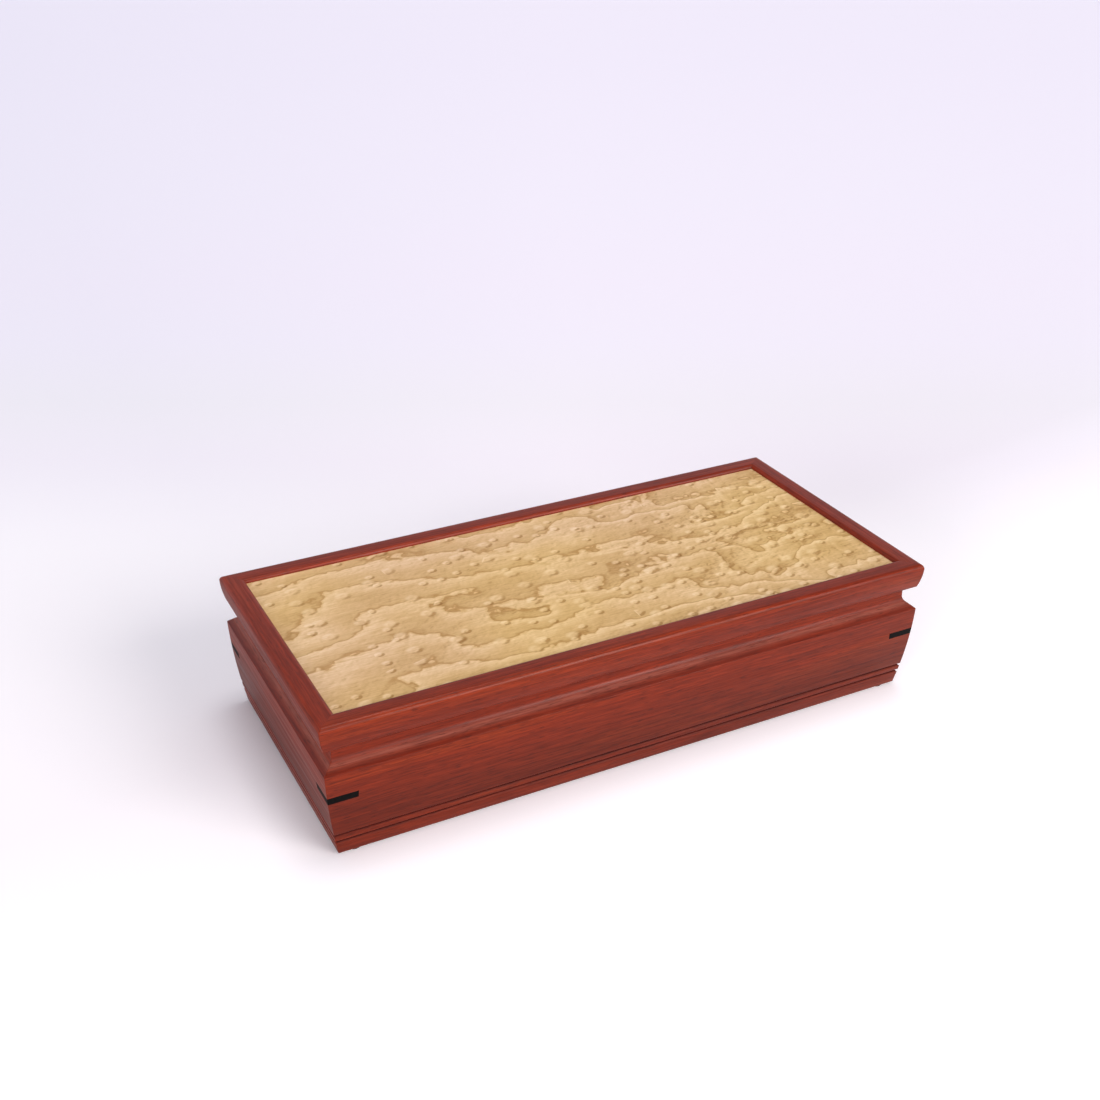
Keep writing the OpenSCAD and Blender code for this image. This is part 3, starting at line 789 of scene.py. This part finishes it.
    # Where the grooves have painted shade, the shine is also duller
    ungrooved = add_node(tree, "ShaderNodeSeparateColor", {"Color": groove_and_low_shade}).outputs["Blue"]
    dull = add_node(tree, RANGE, {
        "Value": ungrooved, "From Min": 0.2, "From Max": 0.6, "To Min": 0.9, "To Max": 0.0})
    shine = add_node(tree, MATH, {0: satin, 1: dull}, operation="MAXIMUM")
    bump = add_node(tree, BUMP, {"Strength": 0.15, "Distance": 0.05 * MM, "Height": fibres})
    return {"Base Color": lip_shaded, "Roughness": shine, "Normal": bump, "Specular IOR Level": 0.22}


def layer_height_tree():
    """How high the growth layers lie under a point of the panel, counted in layers.

    Slow waves run along the board and shorter ones ride on them. To the right the
    layers swirl, and a curl crosses them. The relief adds the fine ripple and the
    drops that stand here and there, which the fibres bend over.
    """
    tree = new_tree("layer_height", "ShaderNodeTree", {"Place": "Vector"}, {
        "Height": "Float", "Relief": "Float", "Drops": "Float"})
    place = add_node(tree, "NodeGroupInput").outputs["Place"]
    right = add_node(tree, SEPARATE, {"Vector": place}).outputs["X"]
    rightness = add_node(tree, RANGE, {
        "Value": right, "From Min": -80 * MM, "From Max": 100 * MM})
    pitch = 26 * MM          # across the board, for one layer
    across = add_node(tree, VECTOR_MATH, {
        0: place, 1: (-0.1 / pitch, 1 / pitch, 0.0)}, operation="DOT_PRODUCT")
    total = add_node(tree, MATH, {0: across.outputs["Value"], 1: 0.3}, operation="ADD")

    def waves(below, stretch, shift, swirl, rise):
        """Adds noise whose swirl and height change from the left end to the right."""
        spread = add_node(tree, PLACE, {
            "Vector": place, "Location": shift, "Scale": [1.0 / (size * MM) for size in stretch]})
        swirled = add_node(tree, RANGE, {
            "Value": rightness, "To Min": swirl[0], "To Max": swirl[1]})
        noise = add_node(tree, NOISE, {
            "Vector": spread, "Scale": 1.0, "Detail": 1.5, "Roughness": 0.45,
            "Distortion": swirled})
        size = add_node(tree, RANGE, {"Value": rightness, "To Min": rise[0], "To Max": rise[1]})
        return add_node(tree, MATH, {0: noise, 1: size, 2: below}, operation="MULTIPLY_ADD")

    total = waves(total, (90.0, 40.0, 60.0), (2.4, 1.2, 0.0), (0.3, 0.7), (3.6, 4.6))
    total = waves(total, (30.0, 14.0, 20.0), (3.1, 7.7, 0.0), (0.3, 1.0), (1.0, 1.7))
    total = waves(total, (10.0, 24.0, 20.0), (8.3, 2.6, 0.0), (0.4, 0.8), (0.1, 1.1))
    total = waves(total, (5.5, 4.5, 6.0), (1.7, 4.2, 0.0), (0.4, 0.6), (0.4, 0.25))
    relief = waves(total, (4.0, 3.0, 3.0), (6.4, 5.9, 0.0), (0.4, 0.6), (0.32, 0.45))
    relief = waves(relief, (1.9, 1.5, 3.0), (4.4, 1.9, 0.0), (0.2, 0.3), (0.14, 0.14))
    drops = None
    for stretch, shift, share in (
            ((16.0, 13.0, 12.0), (0.0, 0.0, 0.3), (0.4, 0.6)),
            ((10.0, 8.0, 8.0), (5.0, 2.0, 0.7), (0.22, 0.4))):
        spread = add_node(tree, PLACE, {
            "Vector": place, "Location": shift, "Scale": [1.0 / (size * MM) for size in stretch]})
        cells = add_node(tree, "ShaderNodeTexVoronoi", {
            "Vector": spread, "Scale": 1.0}, voronoi_dimensions="2D")
        dome = add_node(tree, RANGE, {
            "Value": cells.outputs["Distance"], "From Min": 0.09, "From Max": 0.27,
            "To Min": 1.0, "To Max": 0.0}, interpolation_type="SMOOTHSTEP")
        number = add_node(tree, "ShaderNodeSeparateColor", {"Color": cells.outputs["Color"]})
        wanted = add_node(tree, RANGE, {"Value": rightness, "To Min": share[0], "To Max": share[1]})
        kept = add_node(tree, MATH, {0: number, 1: wanted}, operation="LESS_THAN")
        drops = add_node(tree, MATH, {0: dome, 1: kept, 2: drops or 0.0}, operation="MULTIPLY_ADD")
    domed = add_node(tree, MATH, {0: drops, 1: -0.5, 2: relief}, operation="MULTIPLY_ADD")
    add_node(tree, "NodeGroupOutput", {"Height": total, "Relief": domed, "Drops": drops})
    return tree


def varnished_blister_maple(tree):
    """Blister-figured maple, cut nearly along its growth layers, under satin varnish.

    Each layer starts at a wandering dark line and grows paler up to the next one. Every
    slope of the fibres throws the light to one side, so the flat board looks embossed,
    with pale drops on it.
    """
    shades = bpy.context.scene.puzzle_box_colours
    layers = layer_height_tree()
    place = add_node(tree, COORDINATES).outputs["Object"]
    sampled = []
    for shift in (ORIGIN, (-0.5 * MM, 0.55 * MM, 0.0)):
        moved = add_node(tree, VECTOR_MATH, {0: place, 1: shift}, operation="ADD")
        layer = add_node(tree, "ShaderNodeGroup", {"Place": moved}, node_tree=layers)
        sampled.append(layer.outputs)
    here, beside = sampled
    phase = add_node(tree, MATH, {0: here["Height"]}, operation="FRACT")
    layered = add_node(tree, RAMP, {"Fac": phase}, stops=[
        (0.0, "#d2b07f"), (0.04, shades.maple_dark), (0.12, "#dcbf90"),
        (0.5, shades.maple), (0.92, shades.maple_light), (1.0, "#e6ca9c")])
    pale = add_node(tree, MATH, {0: here["Drops"], 1: 0.6}, operation="MULTIPLY")
    dotted = add_node(tree, MIX, {
        "Factor": pale, "A": layered, "B": shades.maple_light}, **OVER)
    slope = add_node(tree, MATH, {0: beside["Relief"], 1: here["Relief"]}, operation="SUBTRACT")
    lit = add_node(tree, RANGE, {"Value": slope, "From Min": -0.2, "From Max": 0.2})
    shimmer = add_node(tree, RAMP, {"Fac": lit}, stops=[
        (0.0, "#c8b596"), (0.4, "#efe7d8"), (0.65, "#f9f4ec"), (1.0, WHITE)])
    shimmering = add_node(tree, MIX, {"Factor": 1.0, "A": dotted, "B": shimmer}, **TIMES)
    fibres = grain(tree, (9.0, 0.5, 0.6), 2.0, 0.6)
    tone = add_node(tree, RAMP, {"Fac": fibres}, stops=[(0.3, "#efe9df"), (0.7, WHITE)])
    fibrous = add_node(tree, MIX, {"Factor": 1.0, "A": shimmering, "B": tone}, **TIMES)
    drift = grain(tree, (110.0, 50.0, 90.0), 1.0, shift=(0.2, 0.1, 0.0))
    warm = add_node(tree, RAMP, {"Fac": drift}, stops=[(0.35, "#fffae6"), (0.65, "#fffaff")])
    drifted = add_node(tree, MIX, {"Factor": 1.0, "A": fibrous, "B": warm}, **TIMES)
    return {"Base Color": drifted, "Roughness": 0.5, "Specular IOR Level": 0.15}


def sanded_ebony(tree):
    """Ebony, sawn to strips and sanded flush, under the same satin varnish.

    The eye gets a near-black surface with faint brown streaks and a soft shine.
    """
    streaks = grain(tree, (14.0, 0.7, 0.7), 2.0, 0.6, turn=math.radians(45.0))
    shade = add_node(tree, RAMP, {"Fac": streaks}, stops=[(0.35, "#050505"), (0.7, "#120e0e")])
    shine = add_node(tree, RANGE, {"Value": streaks, "To Min": 0.45, "To Max": 0.6})
    return {"Base Color": shade, "Roughness": shine, "Specular IOR Level": 0.06}


def sanded_birch(tree, turn=0.0):
    """Birch board, planed and sanded, with one thin coat of varnish.

    The eye gets a pale tan board with quiet long grain and small darker flecks.
    """
    bands = grain(tree, (140.0, 12.0, 9.0), 2.0, 0.5, 0.5, turn=turn)
    flecks = grain(tree, (5.0, 0.7, 0.7), 1.0, turn=turn)
    base = add_node(tree, RAMP, {"Fac": bands}, stops=[(0.35, "#b98f60"), (0.65, "#d6b283")])
    fleck = add_node(tree, RANGE, {
        "Value": flecks, "From Min": 0.6, "From Max": 0.75, "To Max": 0.45})
    shade = add_node(tree, MIX, {"Factor": fleck, "A": base, "B": "#8a6238"}, **OVER)
    bump = add_node(tree, BUMP, {"Strength": 0.3, "Distance": 0.05 * MM, "Height": flecks})
    return {"Base Color": shade, "Roughness": 0.5, "Normal": bump, "Specular IOR Level": 0.4}


def brushed_suede(tree):
    """Pig suede, split and brushed, glued down as a lining.

    The eye gets a matte brown nap in soft patches, where a finger has turned the hairs.
    The nap's hairs are too fine to show, so they are drawn about 0.6 mm across.
    """
    patches = grain(tree, (24.0, 15.0, 15.0), 2.0, 0.6, 1.0, turn=0.4)
    nap = grain(tree, (0.6, 0.6, 0.6), 2.0, 0.7)
    base = add_node(tree, RAMP, {"Fac": patches}, stops=[(0.35, "#4e362b"), (0.65, "#664a3c")])
    tone = add_node(tree, RAMP, {"Fac": nap}, stops=[(0.3, "#a8a4a0"), (0.7, WHITE)])
    shade = add_node(tree, MIX, {"Factor": 0.8, "A": base, "B": tone}, **TIMES)
    bump = add_node(tree, BUMP, {"Strength": 0.6, "Distance": 0.2 * MM, "Height": nap})
    return {
        "Base Color": shade, "Roughness": 0.92, "Normal": bump, "Sheen Weight": 0.3,
        "Sheen Roughness": 0.5, "Specular IOR Level": 0.2}


def pressed_felt(tree):
    """Wool felt, pressed and cut, for pads and the drawer's lining.

    The eye gets a matte dark surface of short tangled hairs, drawn about 0.5 mm across.
    """
    hairs = grain(tree, (1.6, 0.5, 0.5), 3.0, 0.7, 2.0, turn=0.6)
    shade = add_node(tree, RAMP, {"Fac": hairs}, stops=[(0.3, "#2b2220"), (0.7, "#493c37")])
    bump = add_node(tree, BUMP, {"Strength": 0.7, "Distance": 0.2 * MM, "Height": hairs})
    return {
        "Base Color": shade, "Roughness": 0.95, "Normal": bump, "Sheen Weight": 0.25,
        "Specular IOR Level": 0.15}


def brushed_brass(tree):
    """Brass strip, brushed along its length and left bare.

    The eye gets a warm yellow metal with fine parallel scratches and a spread highlight.
    """
    scratches = grain(tree, (9.0, 0.16, 0.16), 2.0, 0.7)
    tarnish = grain(tree, (7.0, 5.0, 5.0), 2.0, turn=0.3)
    shade = add_node(tree, RAMP, {"Fac": tarnish}, stops=[(0.3, "#a8823f"), (0.7, "#d0a95c")])
    shine = add_node(tree, RANGE, {"Value": scratches, "To Min": 0.24, "To Max": 0.42})
    bump = add_node(tree, BUMP, {"Strength": 0.3, "Distance": 0.02 * MM, "Height": scratches})
    return {"Base Color": shade, "Roughness": shine, "Normal": bump, "Metallic": 1.0}


def plated_nickel(tree):
    """Nickel plate over a pressed magnet.

    The eye gets a bright grey metal with a faint cloudy bloom.
    """
    bloom = grain(tree, (1.2, 1.2, 1.2), 2.0)
    shade = add_node(tree, RAMP, {"Fac": bloom}, stops=[(0.3, "#b9b6b0"), (0.7, "#cfcdc9")])
    shine = add_node(tree, RANGE, {"Value": bloom, "To Min": 0.12, "To Max": 0.26})
    return {"Base Color": shade, "Roughness": shine, "Metallic": 1.0}


# ---------------------------------------------------------------- stage

# Lamps: name, direction from the box, spread in degrees, strength and colour
LAMPS = (
    ("soft_key", (0.41, -0.81, 0.42), 34.0, 2.09, "#fff9f2"),
    ("soft_fill", (-0.84, -0.50, 0.21), 26.0, 1.73, "#fffcf8"),
    ("overhead", (0.10, 0.05, 1.0), 24.0, 1.0, "#fffdfc"),
)

# The camera's place, its tilt below level and turn in degrees, and its lens in mm
CAMERA_PLACE = (-0.28761, -0.53916, 0.4030)
CAMERA_TILT, CAMERA_TURN = 27.879, -26.987
CAMERA_LENS, CAMERA_SENSOR = 47.870, 36.0

FLOOR_RADIUS = 9.0


def shown_to_lens(tree):
    """1 for a ray that the lens or a shine sends out, and 0 for one that gathers light."""
    path = add_node(tree, LIGHT_PATH).outputs
    either = add_node(tree, MATH, {
        0: path["Is Camera Ray"], 1: path["Is Glossy Ray"]}, operation="MAXIMUM")
    return add_node(tree, MATH, {0: either, 1: path["Is Transmission Ray"]}, operation="MAXIMUM")


# Directions on the floor: away from the camera, to its right, and towards the front lamps
AWAY, RIGHTWARD, LAMPWARD = (0.454, 0.891), (0.891, -0.454), (0.2, -0.98)


def seamless_paper(name):
    """White background paper, matte, rolled out on a table.

    The eye gets white that turns slowly to pale lavender away from the lamps, and the
    box's soft shadow stays on it. The paper has a painted glow towards the front lamps,
    and where the box's shine mirrors it, painted shade that darkens to the left.
    """
    material, tree = start_material(name)
    place = add_node(tree, COORDINATES).outputs["Object"]
    deep, aside, lampward = [
        add_node(tree, VECTOR_MATH, {
            0: place, 1: (*direction, 0.0)}, operation="DOT_PRODUCT").outputs["Value"]
        for direction in (AWAY, RIGHTWARD, LAMPWARD)]
    half_deep = add_node(tree, MATH, {0: deep, 1: 0.5}, operation="MULTIPLY")
    tint = add_node(tree, RAMP, {"Fac": half_deep}, stops=[
        (0.075, WHITE), (0.14, "#f7f5f9"), (0.19, "#f3f3f6"), (0.255, "#f3f2f9"),
        (0.335, "#f3f1f9"), (0.475, "#f2f1f9"), (0.9, "#f0eff8")])
    beyond = add_node(tree, MATH, {0: deep, 1: 0.3}, operation="ADD")
    turned = add_node(tree, MATH, {0: aside, 1: beyond}, operation="DIVIDE")
    leftness = add_node(tree, RANGE, {"Value": turned, "From Min": 0.0, "From Max": -0.45})
    farness = add_node(tree, RANGE, {"Value": deep, "From Min": 0.0, "From Max": 0.25})
    dim = add_node(tree, MATH, {0: leftness, 1: farness}, operation="MULTIPLY")
    lensward = add_node(tree, MIX, {"Factor": dim, "A": tint, "B": "#f7f9fa"}, **TIMES)
    # What the box's shine mirrors of the paper gets painted shade, darker to the left
    rightness = add_node(tree, RANGE, {"Value": aside, "From Min": -0.2, "From Max": -0.05})
    painted_mirror_shade = add_node(tree, MIX, {"Factor": rightness, "A": "#c0bfbe", "B": "#f6f4f0"}, **OVER)
    sheen = add_node(tree, LIGHT_PATH).outputs["Is Glossy Ray"]
    paper = add_node(tree, MIX, {"Factor": sheen, "A": lensward, "B": painted_mirror_shade}, **OVER)
    seen = shown_to_lens(tree)
    strength = add_node(tree, MIX, {"Factor": seen, "A": "#cccccc", "B": "#fbf8ff"}, **OVER)
    shaded = add_node(tree, MIX, {"Factor": 1.0, "A": paper, "B": strength}, **TIMES)
    matte = add_node(tree, "ShaderNodeBsdfDiffuse", {"Color": shaded})
    # A painted glow that brightens the paper towards the front lamps
    painted_glow = add_node(tree, RANGE, {
        "Value": lampward, "From Min": -0.06, "From Max": 0.1, "To Min": 0.03, "To Max": 0.2})
    lift = add_node(tree, MATH, {0: seen, 1: painted_glow}, operation="MULTIPLY")
    glow = add_node(tree, "ShaderNodeEmission", {"Color": paper, "Strength": lift})
    add_node(tree, SURFACE, {"Surface": add_node(tree, "ShaderNodeAddShader", {0: matte, 1: glow})})
    return material


def lay_floor():
    """A wide round floor of paper under the box."""
    floor = new_object("floor", bpy.data.meshes.new("floor"))
    bm = bmesh.new()
    bmesh.ops.create_circle(bm, cap_ends=True, segments=96, radius=FLOOR_RADIUS)
    bm.to_mesh(floor.data)
    bm.free()
    floor.data.materials.append(seamless_paper("paper_floor"))


def studio_world():
    """A dim grey room that lights the box, with a pale backdrop where the lens sees it."""
    world = bpy.data.worlds.new("studio")
    world.use_nodes = True
    tree = world.node_tree
    tree.nodes.clear()
    around = add_node(tree, COORDINATES).outputs["Generated"]
    up = add_node(tree, SEPARATE, {"Vector": around}).outputs["Z"]
    light = add_node(tree, RAMP, {"Fac": up}, stops=[
        (0.0, "#d8d7dc"), (0.25, "#bcbbc1"), (0.5, "#9c9ba1"), (1.0, "#84838a")])
    backdrop = add_node(tree, RAMP, {"Fac": up}, stops=[
        (0.0, "#e8e6f4"), (0.25, "#d8d6e2"), (0.5, "#d8d5da"), (0.75, "#78767c")])
    seen = shown_to_lens(tree)
    mix = add_node(tree, MIX, {"Factor": seen, "A": light, "B": backdrop}, **OVER)
    glow = add_node(tree, "ShaderNodeBackground", {"Color": mix, "Strength": 1.0})
    add_node(tree, "ShaderNodeOutputWorld", {"Surface": glow})
    return world


def hang_lamp(scene, name, place, spread, strength, tint):
    """A wide soft sun that shines on the box from a direction."""
    lamp = bpy.data.lights.new(name, "SUN")
    lamp.angle = math.radians(spread)
    lamp.energy = strength
    lamp.color = linear(tint)[:3]
    holder = bpy.data.objects.new(name, lamp)
    scene.collection.objects.link(holder)
    holder.location = place
    holder.rotation_euler = (-holder.location).to_track_quat("-Z", "Y").to_euler()


def placed_camera(scene):
    """The camera, in front of the box, a little to its left and above it."""
    camera = bpy.data.cameras.new("camera")
    camera.lens = CAMERA_LENS
    camera.sensor_width = CAMERA_SENSOR
    camera.clip_start = 0.01
    camera.clip_end = 60.0
    holder = bpy.data.objects.new("camera", camera)
    scene.collection.objects.link(holder)
    holder.location = CAMERA_PLACE
    holder.rotation_euler = (math.radians(90 - CAMERA_TILT), 0.0, math.radians(CAMERA_TURN))
    return holder


# ---------------------------------------------------------------- operators

class PieceOperator:
    """What the operators share."""

    bl_options = {"REGISTER"}

    @property
    def sizes(self):
        """The sizes of the visible wooden pieces."""
        return bpy.context.scene.puzzle_box_sizes


class PUZZLEBOX_OT_walls(PieceOperator, bpy.types.Operator):
    """Runs the four walls with their bow, grooves, lip, cove and neck"""
    bl_idname = "puzzlebox.walls"
    bl_label = "Walls"

    def execute(self, context):
        sizes = self.sizes
        (channel_left, channel_right), (channel_front, channel_back) = (
            span("lock_channel_cap", axis) for axis in (0, 1))
        front_cut = [
            block("lock_channel",
                  (channel_left, channel_front, span("lock_bar", 2)[0] - UNDER_BAR),
                  (channel_right, channel_back, LID_UNDER + PAST)),
            kerf(-1, -1), kerf(1, -1)]
        back_cut = [kerf(-1, 1), kerf(1, 1)]
        for x in (-HINGE_X, HINGE_X):
            back_cut.append(block(
                "leaf_seat", (x - HINGE_HALF_LENGTH, HINGE_Y - SEAT_IN, LID_UNDER - SEAT_DEPTH),
                (x + HINGE_HALF_LENGTH, HINGE_Y + WALL_SEAT_OUT, LID_UNDER + PAST)))
        magnet_low, magnet_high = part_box("case_magnet")
        middle = (magnet_low + magnet_high) / 2
        left_cut = [
            drum("magnet_hole", (middle.x + PAST_MAGNET / 2, middle.y, middle.z),
                 (magnet_high.y - magnet_low.y) / 2,
                 magnet_high.x - magnet_low.x + PAST_MAGNET,
                 Matrix.Rotation(math.pi / 2, 4, "Y")),
            kerf(-1, -1), kerf(-1, 1)]
        right_cut = [kerf(1, -1), kerf(1, 1)]
        # Node, outline, side, turn of the grain, place in the wood and cutters
        plans = (
            ("front_wall", wall_outline, FRONT, 0.0, (0.00, 0.0, 0.0), front_cut),
            ("back_wall", wall_outline, BACK, 0.0, (0.31, 0.2, 0.1), back_cut),
            ("left_wall", wall_outline, LEFT, 90.0, (0.55, 0.1, 0.3), left_cut),
            ("right_wall", right_wall_outline, RIGHT, 90.0, (0.81, 0.4, 0.2), right_cut),
        )
        for node, outline, side, turn, shift, cutters in plans:
            wood = new_material("bubinga_" + node, varnished_bubinga, math.radians(turn), shift)
            piece = run_piece("bowed_" + node, outline(sizes), side, wood, cutters)
            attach(piece, "case")
            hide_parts(node)
        return {"FINISHED"}


class PUZZLEBOX_OT_lid_rails(PieceOperator, bpy.types.Operator):
    """Runs the four rounded rails that frame the lid's panel"""
    bl_idname = "puzzlebox.lid_rails"
    bl_label = "Lid rails"

    def execute(self, context):
        sizes = self.sizes
        notch = HINGE_HALF_LENGTH + KNUCKLE_GAP
        back_cut = []
        for x in (-HINGE_X, HINGE_X):
            back_cut.append(block(
                "leaf_seat", (x - HINGE_HALF_LENGTH, HINGE_Y - SEAT_IN, LID_UNDER - PAST),
                (x + HINGE_HALF_LENGTH, HINGE_Y + RAIL_SEAT_OUT, LID_UNDER + SEAT_DEPTH)))
            back_cut.append(block(
                "knuckle_notch", (x - notch, HINGE_Y - KNUCKLE_ROOM, LID_UNDER - PAST),
                (x + notch, HINGE_Y + KNUCKLE_ROOM, LID_UNDER + KNUCKLE_ROOM)))
        # Node, side, turn of the grain, place in the wood and cutters
        plans = (
            ("lid_front_rail", FRONT, 0.0, (0.12, 0.3, 0.4), ()),
            ("lid_back_rail", BACK, 0.0, (0.42, 0.5, 0.0), back_cut),
            ("lid_left_rail", LEFT, 90.0, (0.66, 0.0, 0.2), ()),
            ("lid_right_rail", RIGHT, 90.0, (0.93, 0.6, 0.5), ()),
        )
        for node, side, turn, shift, cutters in plans:
            wood = new_material("bubinga_" + node, varnished_bubinga, math.radians(turn), shift)
            piece = run_piece("rounded_" + node, rail_outline(sizes), side, wood, cutters)
            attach(piece, "lid")
            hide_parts(node)
        return {"FINISHED"}


class PUZZLEBOX_OT_drawer(PieceOperator, bpy.types.Operator):
    """Runs the drawer's front and finishes the drawer behind it"""
    bl_idname = "puzzlebox.drawer"
    bl_label = "Drawer"

    def execute(self, context):
        sizes = self.sizes
        wood = new_material(
            "bubinga_drawer_front", varnished_bubinga, math.radians(90.0), (0.81, 0.4, 0.2))
        piece = run_piece(
            "grooved_drawer_front", drawer_front_outline(sizes), RIGHT, wood, seam=sizes.seam)
        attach(piece, "drawer")
        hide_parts("drawer_front")
        lengthways = new_material("birch_drawer_long", sanded_birch)
        dress(("drawer_front_side", "drawer_back_side", "drawer_bottom"), lengthways, 0.2 * MM)
        crossways = new_material("birch_drawer_tail", sanded_birch, math.radians(90.0))
        dress(("drawer_tail",), crossways, 0.2 * MM)
        dress(("drawer_lining",), new_material("felt_drawer_lining", pressed_felt))
        nickel = new_material("nickel_magnets", plated_nickel)
        dress(("drawer_magnet", "case_magnet"), nickel, 0.15 * MM)
        return {"FINISHED"}


class PUZZLEBOX_OT_corner_keys(PieceOperator, bpy.types.Operator):
    """Lets a black key into each corner, flush with both walls"""
    bl_idname = "puzzlebox.corner_keys"
    bl_label = "Corner keys"

    def execute(self, context):
        ebony = new_material("ebony_corner_keys", sanded_ebony)
        for node, x_side, y_side in (
                ("key_front_left", -1, -1), ("key_front_right", 1, -1),
                ("key_back_left", -1, 1), ("key_back_right", 1, 1)):
            piece = corner_key("flush_" + node, x_side, y_side, self.sizes)
            piece.data.materials.append(ebony)
            smooth_between_edges(piece)
            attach(piece, "case")
            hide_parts(node)
        return {"FINISHED"}


class PUZZLEBOX_OT_lid_panel(PieceOperator, bpy.types.Operator):
    """Finishes the figured panel that the lid's rails frame"""
    bl_idname = "puzzlebox.lid_panel"
    bl_label = "Lid panel"

    def execute(self, context):
        maple = new_material("blister_maple_panel", varnished_blister_maple)
        dress(("lid_panel",), maple, 0.15 * MM)
        return {"FINISHED"}


class PUZZLEBOX_OT_boards(PieceOperator, bpy.types.Operator):
    """Finishes the floor boards, the drawer's stop, the linings and the pads"""
    bl_idname = "puzzlebox.boards"
    bl_label = "Boards and linings"

    def execute(self, context):
        birch = new_material("birch_floor_boards", sanded_birch)
        dress(("base_panel", "case_floor", "drawer_stop"), birch, 0.15 * MM)
        dress(("floor_lining", "lid_lining"), new_material("suede_linings", brushed_suede))
        dress(("feet",), new_material("felt_pads", pressed_felt), 0.2 * MM)
        return {"FINISHED"}


class PUZZLEBOX_OT_hardware(PieceOperator, bpy.types.Operator):
    """Finishes the hinges, the lock bar, its studs and the channel's cap"""
    bl_idname = "puzzlebox.hardware"
    bl_label = "Hinges and lock"

    def execute(self, context):
        brass = new_material("brass_hardware", brushed_brass)
        dress(("case_hinge_leaves", "lid_hinge_leaves", "hinge_pins"), brass)
        hinge_screws("case", span("case_hinge_screws", 2)[1], 0.0, brass)
        hinge_screws("lid", span("lid_hinge_screws", 2)[0], math.pi, brass)
        dress(("lock_bar", "lock_studs"), brass, 0.15 * MM)
        wood = new_material("bubinga_channel_cap", varnished_bubinga, 0.0, ORIGIN)
        dress(("lock_channel_cap",), wood, 0.1 * MM)
        return {"FINISHED"}


class PUZZLEBOX_OT_stage(PieceOperator, bpy.types.Operator):
    """Sets the pale floor, the soft lights and the camera"""
    bl_idname = "puzzlebox.stage"
    bl_label = "Stage"

    def execute(self, context):
        scene = context.scene
        lay_floor()
        scene.world = studio_world()
        for lamp in LAMPS:
            hang_lamp(scene, *lamp)
        scene.camera = placed_camera(scene)
        scene.view_settings.view_transform = "Standard"
        return {"FINISHED"}


class PUZZLEBOX_PT_pieces(bpy.types.Panel):
    """Lists the sizes, the colours and the steps of the box"""
    bl_label = "Puzzle Box"
    bl_idname = "PUZZLEBOX_PT_pieces"
    bl_space_type = "VIEW_3D"
    bl_region_type = "UI"
    bl_category = "Puzzle Box"

    def draw(self, context):
        layout = self.layout
        for group in (context.scene.puzzle_box_sizes, context.scene.puzzle_box_colours):
            for name in group.__annotations__:
                layout.prop(group, name)
        for step in STEPS:
            layout.operator(step.bl_idname)


STEPS = (
    PUZZLEBOX_OT_stage, PUZZLEBOX_OT_walls, PUZZLEBOX_OT_corner_keys, PUZZLEBOX_OT_lid_rails,
    PUZZLEBOX_OT_lid_panel, PUZZLEBOX_OT_drawer, PUZZLEBOX_OT_boards, PUZZLEBOX_OT_hardware,
)
CLASSES = (PuzzleBoxSizes, PuzzleBoxColours) + STEPS + (PUZZLEBOX_PT_pieces,)


def register():
    """Adds the sizes, the colours, the operators and the panel."""
    for cls in CLASSES:
        bpy.utils.register_class(cls)
    bpy.types.Scene.puzzle_box_sizes = bpy.props.PointerProperty(type=PuzzleBoxSizes)
    bpy.types.Scene.puzzle_box_colours = bpy.props.PointerProperty(type=PuzzleBoxColours)


def unregister():
    """Takes them away again."""
    del bpy.types.Scene.puzzle_box_colours
    del bpy.types.Scene.puzzle_box_sizes
    for cls in reversed(CLASSES):
        bpy.utils.unregister_class(cls)


def main():
    """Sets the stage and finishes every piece."""
    register()
    bpy.ops.puzzlebox.stage()
    bpy.ops.puzzlebox.walls()
    bpy.ops.puzzlebox.corner_keys()
    bpy.ops.puzzlebox.lid_rails()
    bpy.ops.puzzlebox.lid_panel()
    bpy.ops.puzzlebox.drawer()
    bpy.ops.puzzlebox.boards()
    bpy.ops.puzzlebox.hardware()


if __name__ == "__main__":
    main()
